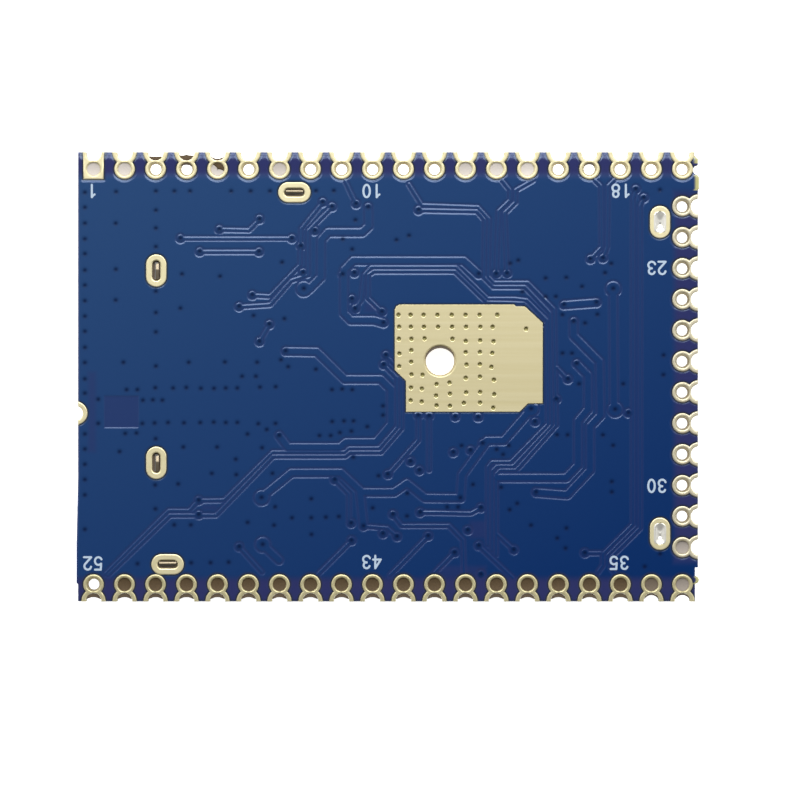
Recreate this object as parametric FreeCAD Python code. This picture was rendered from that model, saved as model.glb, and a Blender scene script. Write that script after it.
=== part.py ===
"""Surface-mount wireless network module.

A four-layer board with 52 plated terminals on three of its edges, an aerial contact on the fourth,
a heat land with one large plated hole, and a folded tinplate shield over the parts on its other side.
The module lies on the lid of its shield, with the soldering face up.
X runs along the long edges, Y across them and Z up. The origin is under the board's middle,
on the plane that the lid rests on. All sizes are in millimetres.
"""

import FreeCAD, Part
import math
import os

os.makedirs("parts", exist_ok=True)

# Board
board_length = 40.0
board_width = 29.0
board_thickness = 1.2
corner_cut = 0.45
tab_stub = 0.1

# Plated terminals: a round hole, and a half hole on the routed edge, each with its own round land.
# Their radii and the step between them are shares of the pitch.
long_row_count = 20
side_row_count = 12
long_row_ends = 1.0
side_row_ends = 3.5
long_row_inset = 1.1
side_row_inset = 1.0
pin_hole_share = 0.22
half_hole_share = 0.25
hole_to_half_hole_share = 0.525
ring_land_share = 0.3335
edge_land_share = 0.39
square_land_share = 0.665
land_proud = 0.04
ring_flats = 7
hole_flats = 16
half_hole_flats = 8

# Aerial contact on the left edge
aerial_y = -2.35
aerial_hole_r = 0.45
aerial_land_r = 0.77
aerial_outside = 0.14

# Break-away tabs on the right edge and the slight bulge that one left on the left edge
bite_r = 0.31
bite_below_row = 0.07
stub_length = 0.9
recess_depth = 0.18
recess_length = 2.2
nub_r = 0.25
nub_below_recess = 0.8
bulge_length = 4.2
bulge_rise = 3.5
bulge_from_corner = 1.6

# Shield can, folded from one sheet, with legs through plated slots
sheet = 0.2
shield_height = 2.3
left_strip = 4.95
right_strip = 2.35
top_strip = 2.5
bottom_strip = 2.3
bend_r = 0.35
leg_width = 1.1
leg_short = 0.15
leg_side_play = 0.105
leg_face_play = 0.165
slot_land_rim = 0.41
left_leg_from_top = 5.15
left_leg_from_bottom = 6.65
right_leg_from_top = 2.02
right_leg_from_bottom = 2.07
top_leg_from_left = 9.01
bottom_leg_from_left = 0.83
slot_end_flats = 6
solder_dip = 0.1

# Heat land and its large plated hole, from the middle of the main chip
heat_to_left = 3.42
heat_to_right = 6.13
heat_to_top = 3.66
heat_to_bottom = 3.26
heat_shoulder = 1.15
heat_step = 0.12
heat_step_run = 0.55
heat_corner_top = 1.05
heat_corner_bottom = 0.95
heat_inset_left = 0.72
heat_inset_height = 1.98
heat_rounding = 0.35
heat_hole_from_left = 2.93
heat_hole_from_top = 3.63
heat_hole_r = 1.0
barrel_wall = 0.05

# Parts on the component side. The chip's share is of the length inside the shield.
chip_share = 0.3715
chip_height = 0.85
chip_y = 1.0
play_at_left = 0.6
play_at_top = 0.2925
chip_pad_length = 6.7
chip_pad_width = 6.3
chip_pad_height = 0.05
part_gap = 0.5
memory_length = 8.0
memory_height = 1.1
memory_from_line = 3.55
memory_from_wall = 0.6
flash_side = 5.3
flash_height = 1.75
flash_bevel = 0.2
flash_leads_per_side = 4
flash_lead_length = 1.2
flash_lead_width = 0.4
flash_lead_height = 0.25
flash_lead_pitch = 1.27
crystal_length = 3.2
crystal_width = 2.5
crystal_height = 0.7
crystal_lid_rim = 0.25
crystal_lid_height = 0.15
coil_side = 4.0
coil_height = 1.8
coil_bevel = 0.5
regulator_length = 2.9
regulator_width = 1.6
regulator_height = 1.1
radio_side = 3.0
radio_height = 0.75
filter_length = 2.0
filter_width = 1.25
filter_height = 0.8
small_length = 1.0
small_width = 0.5
capacitor_height = 0.5
resistor_height = 0.35
small_pitch = 1.3
capacitors_per_row = 8
capacitors_in_column = 5
resistors_per_row = 6

# Aerial socket, a small snap-on coaxial one, outside the shield
socket_from_edge = 2.8
socket_y = -2.3
socket_base = 2.6
socket_base_height = 0.35
socket_ring_r = 1.0
socket_ring_wall = 0.15
socket_ring_height = 1.25
socket_lip = 0.08
socket_lip_height = 0.25
socket_pin_r = 0.25
socket_pin_height = 1.0

board_low = shield_height
board_top = shield_height + board_thickness
land_top = board_top + land_proud
half_length = board_length / 2
half_width = board_width / 2
long_pitch = (board_length - 2 * long_row_ends) / (long_row_count - 1)
side_pitch = (board_width - 2 * side_row_ends) / (side_row_count - 1)
pitch = min(long_pitch, side_pitch)
pin_hole_r = pin_hole_share * pitch
half_hole_r = half_hole_share * pitch
hole_to_half_hole = hole_to_half_hole_share * pitch
ring_land_r = ring_land_share * pitch
edge_land_r = edge_land_share * pitch
square_land = square_land_share * pitch
shield_length = board_length - left_strip - right_strip
shield_width = board_width - top_strip - bottom_strip
shield_x = (left_strip - right_strip) / 2
shield_y = (bottom_strip - top_strip) / 2
shield_left = shield_x - shield_length / 2
shield_top = shield_y + shield_width / 2
shield_bottom = shield_y - shield_width / 2
socket_x = -half_length + socket_from_edge
up = FreeCAD.Vector(0, 0, 1)
beyond = 1.0


def at(x, y, z=0.0):
    return FreeCAD.Vector(x, y, z)


def save(node, solids):
    """Write one piece, or a group of like pieces, to its own STEP file."""
    shape = solids[0] if len(solids) == 1 else Part.makeCompound(solids)
    shape.exportStep("parts/" + node + ".step")
    volume = sum(solid.Volume for solid in solids)
    print(node, len(solids), "solids", round(volume, 3), "mm3", "valid" if shape.isValid() else "NOT VALID")


def block(x, y, low, high, length, width):
    """Box centred on x, y."""
    return Part.makeBox(length, width, high - low, at(x - length / 2, y - width / 2, low))


def raised(edges, low, high):
    """Prism from a closed outline of edges drawn in the plane z = 0."""
    face = Part.Face(Part.Wire(Part.__sortEdges__(edges)))
    face.translate(at(0, 0, low))
    return face.extrude(at(0, 0, high - low))


def lines(points):
    """Straight edges through the points, left open at the end."""
    return [Part.LineSegment(a, b).toShape() for a, b in zip(points[:-1], points[1:])]


def on_circle(x, y, radius, degrees):
    angle = math.radians(degrees)
    return at(x + radius * math.cos(angle), y + radius * math.sin(angle))


def turned(shape, x, y, degrees):
    """Put a shape drawn round the origin at x, y, turned about Z."""
    placed = shape.copy()
    placed.rotate(at(0, 0), up, degrees)
    placed.translate(at(x, y))
    return placed


def flats_round(x, y, radius, start, sweep, flats):
    """Points at even angles on a circle, with one more point than there are flats."""
    return [on_circle(x, y, radius, start + sweep / flats * k) for k in range(flats + 1)]


def terminal_outer(inset):
    """Outer outline of a terminal's copper, drawn inwards (+Y) from the edge y = 0.

    It is the union of two round lands. A few flats follow each circle, so that 52 of them stay light.
    """
    half_hole_y = inset - hole_to_half_hole
    tip = math.sqrt(edge_land_r**2 - half_hole_y**2)
    reach = (ring_land_r**2 - edge_land_r**2 + hole_to_half_hole**2) / (2 * hole_to_half_hole)
    ring_start = math.degrees(math.acos(reach / ring_land_r))
    edge_start = math.degrees(math.acos((hole_to_half_hole - reach) / edge_land_r))
    tip_angle = math.degrees(math.asin(-half_hole_y / edge_land_r))
    middle_angle = (tip_angle + 90 - edge_start) / 2
    right = [at(tip, 0), on_circle(0, half_hole_y, edge_land_r, middle_angle)]
    ring = flats_round(0, inset, ring_land_r, -90 + ring_start, 360 - 2 * ring_start, ring_flats)
    left = [at(-point.x, point.y) for point in reversed(right)]
    return right + ring + left


def square_outer(inset):
    """Outline of pin 1's square land, which runs on to the edge."""
    half = square_land / 2
    return [at(half, 0), at(half, inset + half), at(-half, inset + half), at(-half, 0)]


def terminal(outer, inset, at_corner):
    """Copper of one terminal: the outline, less its hole and the half hole on the edge.

    The four corner holes, which locate the module on a row of pins, are true rounds. The others have flats.
    """
    half_hole_y = inset - hole_to_half_hole
    lean = math.degrees(math.asin(-half_hole_y / half_hole_r))
    bay = flats_round(0, half_hole_y, half_hole_r, lean, 180 - 2 * lean, half_hole_flats)
    rim = outer + bay[::-1]
    copper = raised(lines(rim + rim[:1]), board_low, land_top)
    if at_corner:
        hole = Part.makeCylinder(pin_hole_r, 2 * land_top, at(0, inset, 0))
    else:
        hole = raised(lines(flats_round(0, inset, pin_hole_r, 0, 360, hole_flats)), 0, 2 * land_top)
    return copper.cut(hole)


def terminal_seat(outer):
    """What the board gives up to one terminal, run out past the edge."""
    rim = [at(outer[0].x, -beyond)] + outer + [at(outer[-1].x, -beyond)]
    return raised(lines(rim + rim[:1]), 0, 2 * land_top)


def rows():
    """Name, inset and turn of each row, with its points on the edge, counted clockwise from the top left."""
    across = [(k - (long_row_count - 1) / 2) * long_pitch for k in range(long_row_count)]
    down = [((side_row_count - 1) / 2 - k) * side_pitch for k in range(side_row_count)]
    return [
        ("top_row_pins", long_row_inset, 180, [(x, half_width) for x in across]),
        ("side_row_pins", side_row_inset, 90, [(half_length, y) for y in down]),
        ("bottom_row_pins", long_row_inset, 0, [(x, -half_width) for x in reversed(across)]),
    ]


def outline_in_row(row, inset, k):
    """Pin 1 has a square land, and all others a round one."""
    return square_outer(inset) if (row, k) == ("top_row_pins", 0) else terminal_outer(inset)


def oval(x, y, length, width, vertical, low, high):
    """Slot-shaped prism, whose round ends are a few flats each."""
    r = width / 2
    straight = length / 2 - r
    rim = flats_round(straight, 0, r, -90, 180, slot_end_flats)
    rim += flats_round(-straight, 0, r, 90, 180, slot_end_flats)
    return turned(raised(lines(rim + rim[:1]), low, high), x, y, 90 if vertical else 0)


def leg_places():
    """Centre of each shield leg on its wall's middle plane, and whether it stands along Y."""
    wall_x = shield_length / 2 - sheet / 2
    wall_y = shield_width / 2 - sheet / 2
    return [
        (shield_x - wall_x, shield_top - left_leg_from_top, True),
        (shield_x - wall_x, shield_bottom + left_leg_from_bottom, True),
        (shield_left + top_leg_from_left, shield_y + wall_y, False),
        (shield_left + bottom_leg_from_left, shield_y - wall_y, False),
        (shield_x + wall_x, shield_top - right_leg_from_top, True),
        (shield_x + wall_x, shield_bottom + right_leg_from_bottom, True),
    ]


chip_side = chip_share * (shield_length - 2 * sheet)
left_parts = 2 * part_gap + small_length + radio_side + 2 * (part_gap + filter_length)
play_along = shield_length - 2 * sheet - left_parts - chip_side - part_gap - flash_side
chip_left = shield_left + sheet + play_at_left * play_along + left_parts
chip_right = chip_left + chip_side
chip_bottom = chip_y - chip_side / 2
chip_x = chip_left + chip_side / 2
heat_left = chip_x - heat_to_left
heat_right = chip_x + heat_to_right
heat_top = chip_y + heat_to_top
heat_bottom = chip_y - heat_to_bottom
heat_hole_x = heat_left + heat_hole_from_left
heat_hole_y = heat_top - heat_hole_from_top
slot_length = leg_width + 2 * leg_side_play
slot_width = sheet + 2 * leg_face_play
slot_land_length = slot_length + 2 * slot_land_rim
slot_land_width = slot_width + 2 * slot_land_rim


def heat_outline():
    """Outline of the heat land, from its rounded top left corner clockwise."""
    shoulder_x = heat_right - heat_shoulder
    step_x = shoulder_x - heat_step_run
    return [
        at(heat_left + heat_rounding, heat_top),
        at(step_x, heat_top),
        at(step_x + heat_step, heat_top - heat_step),
        at(shoulder_x, heat_top - heat_step),
        at(heat_right, heat_top - heat_step - heat_corner_top),
        at(heat_right, heat_bottom + heat_corner_bottom / 2),
        at(heat_right - heat_corner_bottom, heat_bottom + heat_corner_bottom / 2),
        at(heat_right - 1.5 * heat_corner_bottom, heat_bottom),
        at(heat_left + heat_inset_left, heat_bottom),
        at(heat_left + heat_inset_left, heat_bottom + heat_inset_height),
        at(heat_left, heat_bottom + heat_inset_height + heat_inset_left),
        at(heat_left, heat_top - heat_rounding),
    ]


def board():
    """Laminate with its solder mask, less the seats of all copper that runs through it."""
    row_y = half_width - long_row_inset
    stub_top = row_y - bite_below_row - bite_r
    recess_y = -half_width + recess_length
    bulge_low = -half_width + bulge_from_corner
    outline = [
        at(-half_length, half_width),
        at(half_length - corner_cut, half_width),
        at(half_length, half_width - corner_cut),
        at(half_length, stub_top),
        at(half_length + tab_stub, stub_top - tab_stub),
        at(half_length + tab_stub, stub_top - stub_length / 2),
        at(half_length, stub_top - stub_length),
        at(half_length, recess_y),
        at(half_length - recess_depth, recess_y),
        at(half_length - recess_depth, -half_width),
        at(-half_length, -half_width),
        at(-half_length, bulge_low),
        at(-half_length - tab_stub, bulge_low + tab_stub),
        at(-half_length - tab_stub, bulge_low + bulge_length - bulge_rise + tab_stub),
        at(-half_length, bulge_low + bulge_length + tab_stub),
    ]
    plate = raised(lines(outline + outline[:1]), board_low, board_top)
    nub_y = recess_y - nub_below_recess
    nub = Part.makeCylinder(nub_r, board_thickness, at(half_length - recess_depth, nub_y, board_low))
    plate = plate.fuse(nub)
    cuts = []
    for row, inset, turn, places in rows():
        for k, (x, y) in enumerate(places):
            cuts.append(turned(terminal_seat(outline_in_row(row, inset, k)), x, y, turn))
    bite_y = row_y - bite_below_row
    cuts.append(Part.makeCylinder(bite_r, 2 * land_top, at(half_length, bite_y)))
    cuts.append(Part.makeCylinder(aerial_land_r, 2 * land_top, at(-half_length - aerial_outside, aerial_y)))
    for x, y, vertical in leg_places():
        cuts.append(oval(x, y, slot_land_length, slot_land_width, vertical, 0, 2 * land_top))
    cuts.append(Part.makeCylinder(heat_hole_r + barrel_wall, 2 * land_top, at(heat_hole_x, heat_hole_y)))
    return plate.cut(cuts).removeSplitter()


def terminals(row, inset, turn, places):
    """The plated terminals of one row, each a solid of its own."""
    copper = []
    for k, (x, y) in enumerate(places):
        at_corner = inset == long_row_inset and k in (0, len(places) - 1)
        copper.append(turned(terminal(outline_in_row(row, inset, k), inset, at_corner), x, y, turn))
    return copper


def aerial_edge_pin():
    """Plated half hole on the left edge, cut off by the routed edge."""
    centre = at(-half_length - aerial_outside, aerial_y, board_low)
    land = Part.makeCylinder(aerial_land_r, land_top - board_low, centre)
    hole = Part.makeCylinder(aerial_hole_r, 2 * land_top, at(centre.x, centre.y))
    outside = block(-half_length - beyond, aerial_y, 0, 2 * land_top, 2 * beyond, 4 * aerial_land_r)
    return land.cut([hole, outside])


def shield_slots():
    """Plated slots for the legs: an oval land right through the board, with the slot in it."""
    rims = []
    for x, y, vertical in leg_places():
        land = oval(x, y, slot_land_length, slot_land_width, vertical, board_low, land_top)
        rims.append(land.cut(oval(x, y, slot_length, slot_width, vertical, 0, 2 * land_top)))
    return rims


def leg(x, y, vertical):
    """One leg of the shield, from the wall's rim up into its slot."""
    length, width = (sheet, leg_width) if vertical else (leg_width, sheet)
    return block(x, y, board_low, board_top - leg_short, length, width)


def wall_with_bend(run, offset):
    """One wall of the shield and the bend to the lid, drawn for the +X side and extruded along Y."""
    outer = offset
    inner = offset - sheet
    inner_r = bend_r - sheet
    slant = math.sqrt(0.5)
    centre_x = outer - bend_r
    section = lines([at(centre_x, 0, 0), at(centre_x, 0, sheet)])
    section.append(
        Part.Arc(
            at(centre_x, 0, sheet),
            at(centre_x + inner_r * slant, 0, bend_r - inner_r * slant),
            at(inner, 0, bend_r),
        ).toShape()
    )
    section += lines([at(inner, 0, bend_r), at(inner, 0, board_low)])
    section += lines([at(inner, 0, board_low), at(outer, 0, board_low), at(outer, 0, bend_r)])
    section.append(
        Part.Arc(
            at(outer, 0, bend_r),
            at(centre_x + bend_r * slant, 0, bend_r - bend_r * slant),
            at(centre_x, 0, 0),
        ).toShape()
    )
    face = Part.Face(Part.Wire(Part.__sortEdges__(section)))
    face.translate(at(0, -run / 2, 0))
    return face.extrude(at(0, run, 0))


def shield_can():
    """Lid, four folded walls with open corners, and the six legs, all one sheet."""
    flat_length = shield_length - 2 * bend_r
    flat_width = shield_width - 2 * bend_r
    can = block(0, 0, 0, sheet, flat_length, flat_width)
    walls = [
        turned(wall_with_bend(flat_width, shield_length / 2), 0, 0, turn)
        for turn in (0, 180)
    ]
    walls += [
        turned(wall_with_bend(flat_length, shield_width / 2), 0, 0, turn)
        for turn in (90, 270)
    ]
    can = can.fuse(walls)
    can.translate(at(shield_x, shield_y))
    can = can.fuse([leg(x, y, vertical) for x, y, vertical in leg_places()])
    return can.removeSplitter()


def shield_solder():
    """Solder that fills the two right-hand slots round their legs, a little below the land."""
    fills = []
    for x, y, vertical in leg_places()[-2:]:
        fill = oval(x, y, slot_length, slot_width, vertical, board_low, board_top - solder_dip)
        fills.append(fill.cut(leg(x, y, vertical)))
    return fills


def heat_land():
    """The wide land on the face, with the barrel of its large hole."""
    points = heat_outline()
    cut_back = heat_rounding * (1 - math.sqrt(0.5))
    corner = Part.Arc(points[-1], at(heat_left + cut_back, heat_top - cut_back), points[0]).toShape()
    land = raised(lines(points) + [corner], board_top, land_top)
    foot = at(heat_hole_x, heat_hole_y, board_low)
    barrel = Part.makeCylinder(heat_hole_r + barrel_wall, land_top - board_low, foot)
    hole = Part.makeCylinder(heat_hole_r, 2 * land_top, at(heat_hole_x, heat_hole_y))
    return land.fuse(barrel).cut(hole).removeSplitter()


def hung(x, y, height, length, width):
    """A part that sits on the board's component side, so it reaches down from it."""
    return block(x, y, board_low - height, board_low, length, width)


memory_x = chip_left - part_gap - small_length - part_gap - memory_length / 2
memory_low = aerial_y + memory_from_line
memory_width = shield_top - sheet - memory_from_wall - memory_low
memory_y = memory_low + memory_width / 2
right_column_x = chip_right + part_gap + flash_side / 2
flash_run = flash_side + flash_lead_length
column_run = flash_run + crystal_width + 2 * coil_side + 3 * part_gap
flash_y = shield_top - sheet - play_at_top * (shield_width - 2 * sheet - column_run) - flash_run / 2
crystal_y = flash_y - flash_run / 2 - part_gap - crystal_width / 2
coil_y = crystal_y - crystal_width / 2 - part_gap - coil_side / 2


def main_chip():
    """Flat leadless package, held off the board by its soldered pad."""
    low = board_low - chip_pad_height - chip_height
    return block(chip_x, chip_y, low, board_low - chip_pad_height, chip_side, chip_side)


def main_chip_pad():
    """Tinned pad under the chip, which is the floor of the large hole."""
    return hung(chip_x, chip_y, chip_pad_height, chip_pad_length, chip_pad_width)


def flash_chip():
    """Small-outline package: a body that stands on two rows of four leads."""
    low = board_low - flash_height
    body = block(right_column_x, flash_y, low, board_low - flash_lead_height, flash_side, flash_side)
    free_edges = [edge for edge in body.Edges if edge.BoundBox.ZMax < low + flash_bevel]
    return body.makeChamfer(flash_bevel, free_edges)


def flash_leads():
    """Flat feet of the flash chip, from under its body outwards."""
    feet = []
    for side in (-1, 1):
        foot_y = flash_y + side * (flash_side / 2)
        for k in range(flash_leads_per_side):
            x = right_column_x + (k - (flash_leads_per_side - 1) / 2) * flash_lead_pitch
            feet.append(hung(x, foot_y, flash_lead_height, flash_lead_width, flash_lead_length))
    return feet


def crystal():
    """Ceramic base with a smaller metal lid."""
    base_height = crystal_height - crystal_lid_height
    base = hung(right_column_x, crystal_y, base_height, crystal_length, crystal_width)
    low = board_low - crystal_height
    lid_length = crystal_length - 2 * crystal_lid_rim
    lid_width = crystal_width - 2 * crystal_lid_rim
    lid = block(right_column_x, crystal_y, low, board_low - base_height, lid_length, lid_width)
    return base.fuse(lid).removeSplitter()


def power_coils():
    """Shielded power inductors with bevelled corners."""
    coils = []
    for k in range(2):
        y = coil_y - k * (coil_side + part_gap)
        coil = hung(right_column_x, y, coil_height, coil_side, coil_side)
        upright = [edge for edge in coil.Edges if edge.BoundBox.ZLength > coil_height / 2]
        coils.append(coil.makeChamfer(coil_bevel, upright))
    return coils


regulator_y = chip_bottom - part_gap - small_width - part_gap - regulator_width / 2
radio_x = chip_left - part_gap - small_length - part_gap - radio_side / 2


def regulators():
    """Two step-down regulators below the main chip."""
    right = right_column_x - coil_side / 2 - part_gap - regulator_length / 2
    xs = (right, right - regulator_length - part_gap)
    return [hung(x, regulator_y, regulator_height, regulator_length, regulator_width) for x in xs]


def radio_chip():
    """Radio front-end chip on the line to the aerial."""
    return hung(radio_x, aerial_y, radio_height, radio_side, radio_side)


def radio_filters():
    """Balun and band filter, in line between the radio chip and the shield's left wall."""
    first = radio_x - radio_side / 2 - part_gap - filter_length / 2
    xs = (first, first - filter_length - part_gap)
    return [hung(x, aerial_y, filter_height, filter_length, filter_width) for x in xs]


def capacitors():
    """Decoupling capacitors: a row above, a row below and a column left of the main chip."""
    parts = []
    for k in range(capacitors_per_row):
        x = chip_x + (k - (capacitors_per_row - 1) / 2) * small_pitch
        y = chip_y + chip_side / 2 + part_gap + small_width / 2
        parts.append(hung(x, y, capacitor_height, small_length, small_width))
        y = chip_bottom - part_gap - small_width / 2
        parts.append(hung(x, y, capacitor_height, small_length, small_width))
    for k in range(capacitors_in_column):
        x = chip_left - part_gap - small_length / 2
        y = chip_y + chip_side / 2 - small_width / 2 - k * small_pitch
        parts.append(hung(x, y, capacitor_height, small_length, small_width))
    return parts


def resistors():
    """Pull-up and series resistors: two rows in the lower left of the shield."""
    parts = []
    for row in range(2):
        for k in range(resistors_per_row):
            x = radio_x + radio_side / 2 - small_length / 2 - k * small_pitch
            y = aerial_y - radio_side / 2 - (row + 1) * 2 * small_pitch
            parts.append(hung(x, y, resistor_height, small_length, small_width))
    return parts


def aerial_matching():
    """Two matching parts outside the shield, above the aerial socket."""
    y = socket_y + socket_base / 2 + part_gap + small_width / 2
    return [
        hung(socket_x, y + k * small_pitch, capacitor_height, small_length, small_width)
        for k in range(2)
    ]


def socket_base_block():
    """Plastic base of the aerial socket, with a hole for its centre contact."""
    base = hung(socket_x, socket_y, socket_base_height, socket_base, socket_base)
    return base.cut(Part.makeCylinder(socket_pin_r, 2 * land_top, at(socket_x, socket_y)))


def socket_ring():
    """Turned outer ring, with the lip that a plug snaps over near its free end."""
    inner_r = socket_ring_r - socket_ring_wall
    high = board_low - socket_base_height
    low = board_low - socket_ring_height
    lip_r = socket_ring_r + socket_lip
    section = lines([
        at(inner_r, 0, high),
        at(socket_ring_r, 0, high),
        at(socket_ring_r, 0, low + 2 * socket_lip_height),
        at(lip_r, 0, low + socket_lip_height),
        at(socket_ring_r, 0, low),
        at(inner_r, 0, low),
        at(inner_r, 0, high),
    ])
    ring = Part.Face(Part.Wire(section)).revolve(at(0, 0), up, 360)
    ring.translate(at(socket_x, socket_y))
    return ring


def socket_contact():
    """Centre contact of the aerial socket."""
    low = board_low - socket_pin_height
    return Part.makeCylinder(socket_pin_r, socket_pin_height, at(socket_x, socket_y, low))


save("board", [board()])
for row_name, row_inset, row_turn, row_places in rows():
    save(row_name, terminals(row_name, row_inset, row_turn, row_places))
save("aerial_edge_pin", [aerial_edge_pin()])
save("heat_land", [heat_land()])
save("shield_slots", shield_slots())
save("shield_can", [shield_can()])
save("shield_solder", shield_solder())
save("main_chip", [main_chip()])
save("main_chip_pad", [main_chip_pad()])
save("memory_chip", [hung(memory_x, memory_y, memory_height, memory_length, memory_width)])
save("flash_chip", [flash_chip()])
save("flash_leads", flash_leads())
save("crystal", [crystal()])
save("power_coils", power_coils())
save("regulators", regulators())
save("radio_chip", [radio_chip()])
save("radio_filters", radio_filters())
save("capacitors", capacitors())
save("resistors", resistors())
save("aerial_matching", aerial_matching())
save("socket_base", [socket_base_block()])
save("socket_ring", [socket_ring()])
save("socket_contact", [socket_contact()])
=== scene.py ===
"""Surface-mount wireless network module, lying on the lid of its shield with its soldering side up.

The blue solder mask is a relief: it stands a little higher where it covers copper, so tracks, covered
vias and the gaps round them show by their edges. The gold terminals, lands and slots are thin plates
with rounded rims and plated walls. Everything is in metres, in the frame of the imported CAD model.
"""

import math

import bpy
import numpy as np
from bpy.props import FloatProperty, FloatVectorProperty, PointerProperty
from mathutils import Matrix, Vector
from mathutils.geometry import delaunay_2d_cdt


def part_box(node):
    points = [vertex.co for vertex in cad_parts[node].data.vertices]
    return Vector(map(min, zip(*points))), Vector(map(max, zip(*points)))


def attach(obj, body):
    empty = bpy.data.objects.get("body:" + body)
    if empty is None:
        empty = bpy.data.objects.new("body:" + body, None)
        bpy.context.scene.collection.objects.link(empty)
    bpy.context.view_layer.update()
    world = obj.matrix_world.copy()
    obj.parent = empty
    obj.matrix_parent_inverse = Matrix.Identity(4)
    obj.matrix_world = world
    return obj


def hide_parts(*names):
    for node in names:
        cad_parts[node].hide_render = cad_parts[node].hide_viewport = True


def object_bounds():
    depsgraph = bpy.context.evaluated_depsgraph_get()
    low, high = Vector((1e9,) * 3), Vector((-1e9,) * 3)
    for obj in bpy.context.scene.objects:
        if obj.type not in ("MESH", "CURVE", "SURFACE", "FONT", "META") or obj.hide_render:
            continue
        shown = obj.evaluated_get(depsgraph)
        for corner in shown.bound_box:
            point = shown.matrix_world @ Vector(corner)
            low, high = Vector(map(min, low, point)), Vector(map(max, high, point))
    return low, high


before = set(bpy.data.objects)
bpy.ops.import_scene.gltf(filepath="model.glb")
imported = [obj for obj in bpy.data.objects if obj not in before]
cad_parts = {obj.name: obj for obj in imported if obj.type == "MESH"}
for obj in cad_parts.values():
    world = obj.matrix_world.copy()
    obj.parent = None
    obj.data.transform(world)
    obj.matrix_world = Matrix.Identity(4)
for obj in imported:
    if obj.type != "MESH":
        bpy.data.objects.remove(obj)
cad_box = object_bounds()

bl_info = {
    "name": "Wireless network module",
    "version": (1, 0, 0),
    "blender": (4, 5, 0),
    "location": "3D View > Sidebar > Module",
    "description": "Builds a surface-mount wireless network module with its solder mask, plating and print",
    "category": "Object",
}

MM = 0.001

# Levels and outline, from the frame. The board's lower face lies at a whole tenth of a millimetre.
board_low = round(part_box("heat_land")[0].z / MM, 1) * MM
land_top = cad_box[1].z
board_thickness = 1.2 * MM
board_top = board_low + board_thickness
half_length = 20.0 * MM
half_width = 14.5 * MM

# The photograph shows the board straight on: pixels in a millimetre, and the pixel of the frame's origin
photo_scale = 15.5
photo_origin = (388.0, 376.8)


def spot(px, py):
    """Place on the board of a point that the photograph shows at that pixel."""
    return (px - photo_origin[0]) / photo_scale * MM, (photo_origin[1] - py) / photo_scale * MM


# Rows of terminals: place along the edge from pin to pin, inset of the round holes
pitch = 2.0 * MM
long_row = (np.arange(20) - 9.5) * pitch
side_row = (5.5 - np.arange(12)) * pitch
long_inset = 1.1 * MM
side_inset = 1.0 * MM
hole_to_half_hole = 1.05 * MM
pin_hole_r = 0.44 * MM
half_hole_r = 0.5 * MM
ring_land_r = 0.667 * MM
edge_land_r = 0.78 * MM
square_land = 1.33 * MM

aerial_y = -2.35 * MM
aerial_hole_r = 0.45 * MM
aerial_land_r = 0.77 * MM
aerial_outside = 0.14 * MM

# Plated slots: centre, and whether the slot stands along Y
slots = [
    (-14.95 * MM, 6.85 * MM, True),
    (-14.95 * MM, -5.55 * MM, True),
    (-6.04 * MM, 11.9 * MM, False),
    (-14.22 * MM, -12.1 * MM, False),
    (17.55 * MM, 9.98 * MM, True),
    (17.55 * MM, -10.13 * MM, True),
]
slot_length = 1.31 * MM
slot_width = 0.53 * MM
slot_rim = 0.41 * MM

# Legs of the shield: width and sheet, level of their ends, and how the tips crown, slope, lean, bend
# and round off
leg_width, leg_sheet = 1.1 * MM, 0.2 * MM
leg_top = board_top - 0.15 * MM
leg_dome, leg_slope, leg_lean = 0.12 * MM, 0.3, 0.06 * MM
leg_bend, leg_rounding = 0.08 * MM, 0.012 * MM

# Solder in the slots: depth of its bowl and of the pit in it, how far it creeps over the land, lift of
# its rim, and height and turns of its waves. The pit's place and size are shares of the slot's.
solder_bowl, solder_pit, solder_creep = 0.08 * MM, 0.06 * MM, 0.14 * MM
solder_lift, solder_wave, solder_turns = 0.01 * MM, 0.012 * MM, 11
pit_place, pit_length, pit_width = -0.12, 0.07, 0.22

heat_hole = (3.36 * MM, 1.03 * MM)
heat_hole_r, heat_hole_points = 1.0 * MM, 64
heat_outline = [spot(*p) for p in (
    (514, 304.6), (516, 306.5), (524.7, 306.5), (542.7, 322.8), (542.7, 403.3), (528, 403.5),
    (519.6, 411.8), (405.9, 411.8), (405.9, 380.8), (394.7, 370), (394.7, 310), (396.3, 306.2), (400, 304.6),
)]

# Edges: cut corner, break-away marks on the right, slight bulge on the left
corner_cut = 0.45 * MM
bite = spot(699.1, 170.1)
bite_r = 0.31 * MM
stub_high, stub_low, stub_out = spot(0, 175.9)[1], spot(0, 190.0)[1], 0.08 * MM
recess_y, recess_in = spot(0, 567.6)[1], 0.18 * MM
nub_y, nub_r = spot(0, 580)[1], 0.25 * MM
bulge_high, bulge_mid, bulge_low, bulge_out = -6.2 * MM, -10.6 * MM, -13.3 * MM, 0.1 * MM

# Plating: how far a land's edge reaches down before the wall of a hole takes over, and points on the
# wall of a half hole. Painted shade on the walls starts a little below a face and is full the second
# length below that.
plate_edge = 0.06 * MM
wall_shade_start, wall_shade_reach = 0.07 * MM, 0.4 * MM
upper_foot, lower_foot = land_top - plate_edge, board_low + plate_edge
bay_points = 22

# Laminate: how far its upper face lies below the mask's lowest level, and its lower face above the
# board's own. Mask this far inside a land or the heat land is left out, so that holes stay open.
core_drop, core_lift = 0.14 * MM, 0.04 * MM
land_overlap, heat_overlap = 0.07 * MM, 0.1 * MM
mask_tiles = 5

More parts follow.
